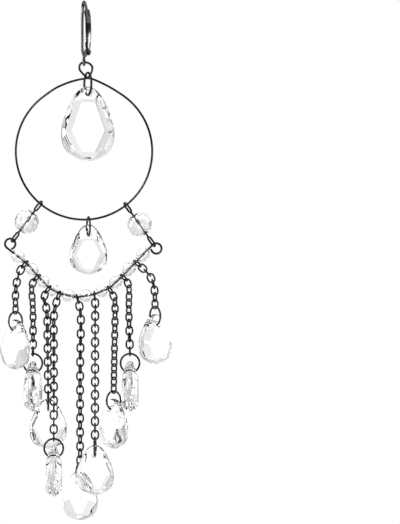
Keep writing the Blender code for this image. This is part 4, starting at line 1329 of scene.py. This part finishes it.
# Cards round the earring: the way to a card's middle, the cosines of its outer and inner edge, and
# its brightness. The first set is what the stones refract, the second what the metal mirrors.
STONE_CARDS = (
    ((0.00, 1.00, 0.00), 0.985, 0.996, 1.10),
    ((-0.75, 0.66, 0.05), 0.90, 0.965, 0.60),
    ((-0.42, 0.78, 0.46), 0.90, 0.96, 0.66),
    ((0.42, 0.78, 0.46), 0.90, 0.96, 0.78),
    ((0.50, 0.55, -0.67), 0.93, 0.98, 0.75),
    ((0.00, -1.00, 0.00), 0.20, 0.90, 0.95),
)
METAL_CARDS = (
    ((0.00, 1.00, 0.00), 0.75, 0.92, 0.40),
    ((-0.95, 0.05, 0.10), 0.90, 0.95, 7.0),
    ((0.93, 0.00, -0.20), 0.94, 0.97, 5.0),
    ((0.10, 0.00, 0.98), 0.92, 0.96, 3.5),
)

# The brightness between the stones' cards, between the metal's, and all round for the matt floor
STONE_WORLD = 0.86
METAL_WORLD = 0.09
FLOOR_WORLD = 1.0


def add_camera():
    """A long lens straight on, framing as the photograph does."""
    data = bpy.data.cameras.new("camera")
    data.sensor_fit = "VERTICAL"
    data.sensor_height = SENSOR
    data.lens = SENSOR * -CAMERA_PLACE[1] / FRAME_HEIGHT
    data.clip_start = CAMERA_CLIP[0]
    data.clip_end = CAMERA_CLIP[1]
    camera = bpy.data.objects.new("camera", data)
    camera.location = CAMERA_PLACE
    camera.rotation_euler = (math.pi / 2.0, 0.0, 0.0)
    bpy.context.scene.collection.objects.link(camera)
    bpy.context.scene.camera = camera


def add_floor():
    """A plain pale floor under the hanging earring."""
    bm = bmesh.new()
    bmesh.ops.create_circle(bm, cap_ends=True, radius=FLOOR_RADIUS, segments=FLOOR_SIDES)
    mesh = bpy.data.meshes.new("floor")
    bm.to_mesh(mesh)
    bm.free()
    floor = bpy.data.objects.new("floor", mesh)
    floor.location = (0.0, 0.0, FLOOR_HEIGHT)
    material, shader, _, _ = new_material("floor")
    shader.inputs["Base Color"].default_value = (FLOOR_GREY, FLOOR_GREY, FLOOR_GREY, 1.0)
    shader.inputs["Roughness"].default_value = FLOOR_ROUGHNESS
    mesh.materials.append(material)
    bpy.context.scene.collection.objects.link(floor)


def add_light(name, place, size, watts):
    """A square soft light, aimed at the earring."""
    data = bpy.data.lights.new(name, "AREA")
    data.shape = "SQUARE"
    data.size = size
    data.energy = watts
    light = bpy.data.objects.new(name, data)
    light.location = place
    light.rotation_euler = (LIGHT_AIM - Vector(place)).to_track_quat("-Z", "Y").to_euler()
    bpy.context.scene.collection.objects.link(light)


def card_light(nodes, links, direction, cards, world_light):
    """The brightness of the world in a direction, with its cards."""
    level = nodes.new("ShaderNodeValue")
    level.outputs["Value"].default_value = world_light
    strength = level.outputs["Value"]
    for way, outer, inner, light in cards:
        facing = nodes.new("ShaderNodeVectorMath")
        facing.operation = "DOT_PRODUCT"
        facing.inputs[1].default_value = Vector(way).normalized()
        links.new(direction, facing.inputs[0])
        edge = nodes.new("ShaderNodeMapRange")
        edge.interpolation_type = "SMOOTHSTEP"
        edge.inputs["From Min"].default_value = outer
        edge.inputs["From Max"].default_value = inner
        links.new(facing.outputs["Value"], edge.inputs["Value"])
        strength = blend(nodes, links, edge.outputs["Result"], strength, light)
    return strength


def blend(nodes, links, share, first, second):
    """A value between a first one and a second, which may be a plain number."""
    mix = nodes.new("ShaderNodeMix")
    links.new(share, mix.inputs["Factor"])
    links.new(first, mix.inputs["A"])
    if isinstance(second, float):
        mix.inputs["B"].default_value = second
    else:
        links.new(second, mix.inputs["B"])
    return mix.outputs["Result"]


def add_world():
    """White to the camera, with a few soft cards that the metal mirrors and the stones refract."""
    world = bpy.data.worlds.new("studio")
    bpy.context.scene.world = world
    world.use_nodes = True
    nodes, links = world.node_tree.nodes, world.node_tree.links
    nodes.clear()
    place = nodes.new("ShaderNodeTexCoord")
    path = nodes.new("ShaderNodeLightPath")
    through = card_light(nodes, links, place.outputs["Generated"], STONE_CARDS, STONE_WORLD)
    mirrored = card_light(nodes, links, place.outputs["Generated"], METAL_CARDS, METAL_WORLD)
    matt = blend(nodes, links, path.outputs["Is Diffuse Ray"], mirrored, FLOOR_WORLD)
    level = blend(nodes, links, path.outputs["Is Transmission Ray"], matt, through)
    studio = nodes.new("ShaderNodeBackground")
    studio.inputs["Color"].default_value = WHITE
    links.new(level, studio.inputs["Strength"])
    seen = nodes.new("ShaderNodeBackground")
    seen.inputs["Color"].default_value = WHITE
    mix = nodes.new("ShaderNodeMixShader")
    links.new(path.outputs["Is Camera Ray"], mix.inputs["Fac"])
    links.new(studio.outputs["Background"], mix.inputs[1])
    links.new(seen.outputs["Background"], mix.inputs[2])
    out = nodes.new("ShaderNodeOutputWorld")
    links.new(mix.outputs["Shader"], out.inputs["Surface"])


def main():
    """Dress the earring and set up the studio."""
    bpy.context.scene.view_settings.view_transform = "Standard"
    add_camera()
    add_world()
    add_floor()
    for light in LIGHTS:
        add_light(*light)
    metal = (plated_metal("black_nickel", BLACK_NICKEL),)
    ear_metal = (plated_metal("bright_nickel", BRIGHT_NICKEL),)
    crystal = [clear_glass(f"crystal_{part}", CRYSTAL_INDEX, clarity_and_shade) for part, clarity_and_shade in CRYSTAL_CLARITY_AND_SHADE]
    glass = [clear_glass(f"bead_{part}", BEAD_INDEX, clarity_and_shade) for part, clarity_and_shade in BEAD_CLARITY_AND_SHADE]
    fine_ear_wire(ear_metal)
    fine_lever(ear_metal)
    fine_hoop(metal)
    fine_swag_wire(metal)
    fine_side_pins(metal)
    small = stone_mesh("small_stone", small_shape())
    big = stone_mesh("big_stone", main_shape())
    top = crossing_point() + Z_AXIS * (HOOP_WIRE + MAIN_LINK_ROOM + MAIN_LINK_WIRE / 2.0)
    fine_drop(("main_link", "main_stone"), ("main_drop_link", "main_drop"), top,
              (MAIN_LINK_YAW, MAIN_PEAR_YAW), (MAIN_LINK_RADIUS, MAIN_LINK_WIRE, main_shape()),
              (big, metal, crystal), ("main_link", "main_drop"))
    angle = math.pi - math.asin(CENTRE_DROP_OFFSET / HOOP_RADIUS)
    top = hoop_point(angle) + Z_AXIS * (HOOP_WIRE / 2.0 + RING_WIRE / 2.0 + CLEARANCE)
    fine_drop(("centre_link", "centre_stone"), ("centre_drop_link", "centre_drop"), top,
              (CENTRE_RING_YAW, CENTRE_PEAR_YAW), (RING_RADIUS, RING_WIRE, small_shape()),
              (small, metal, crystal))
    fine_side_beads(glass)
    fine_swag_beads(glass)
    fine_chains((small, metal, crystal))


main()
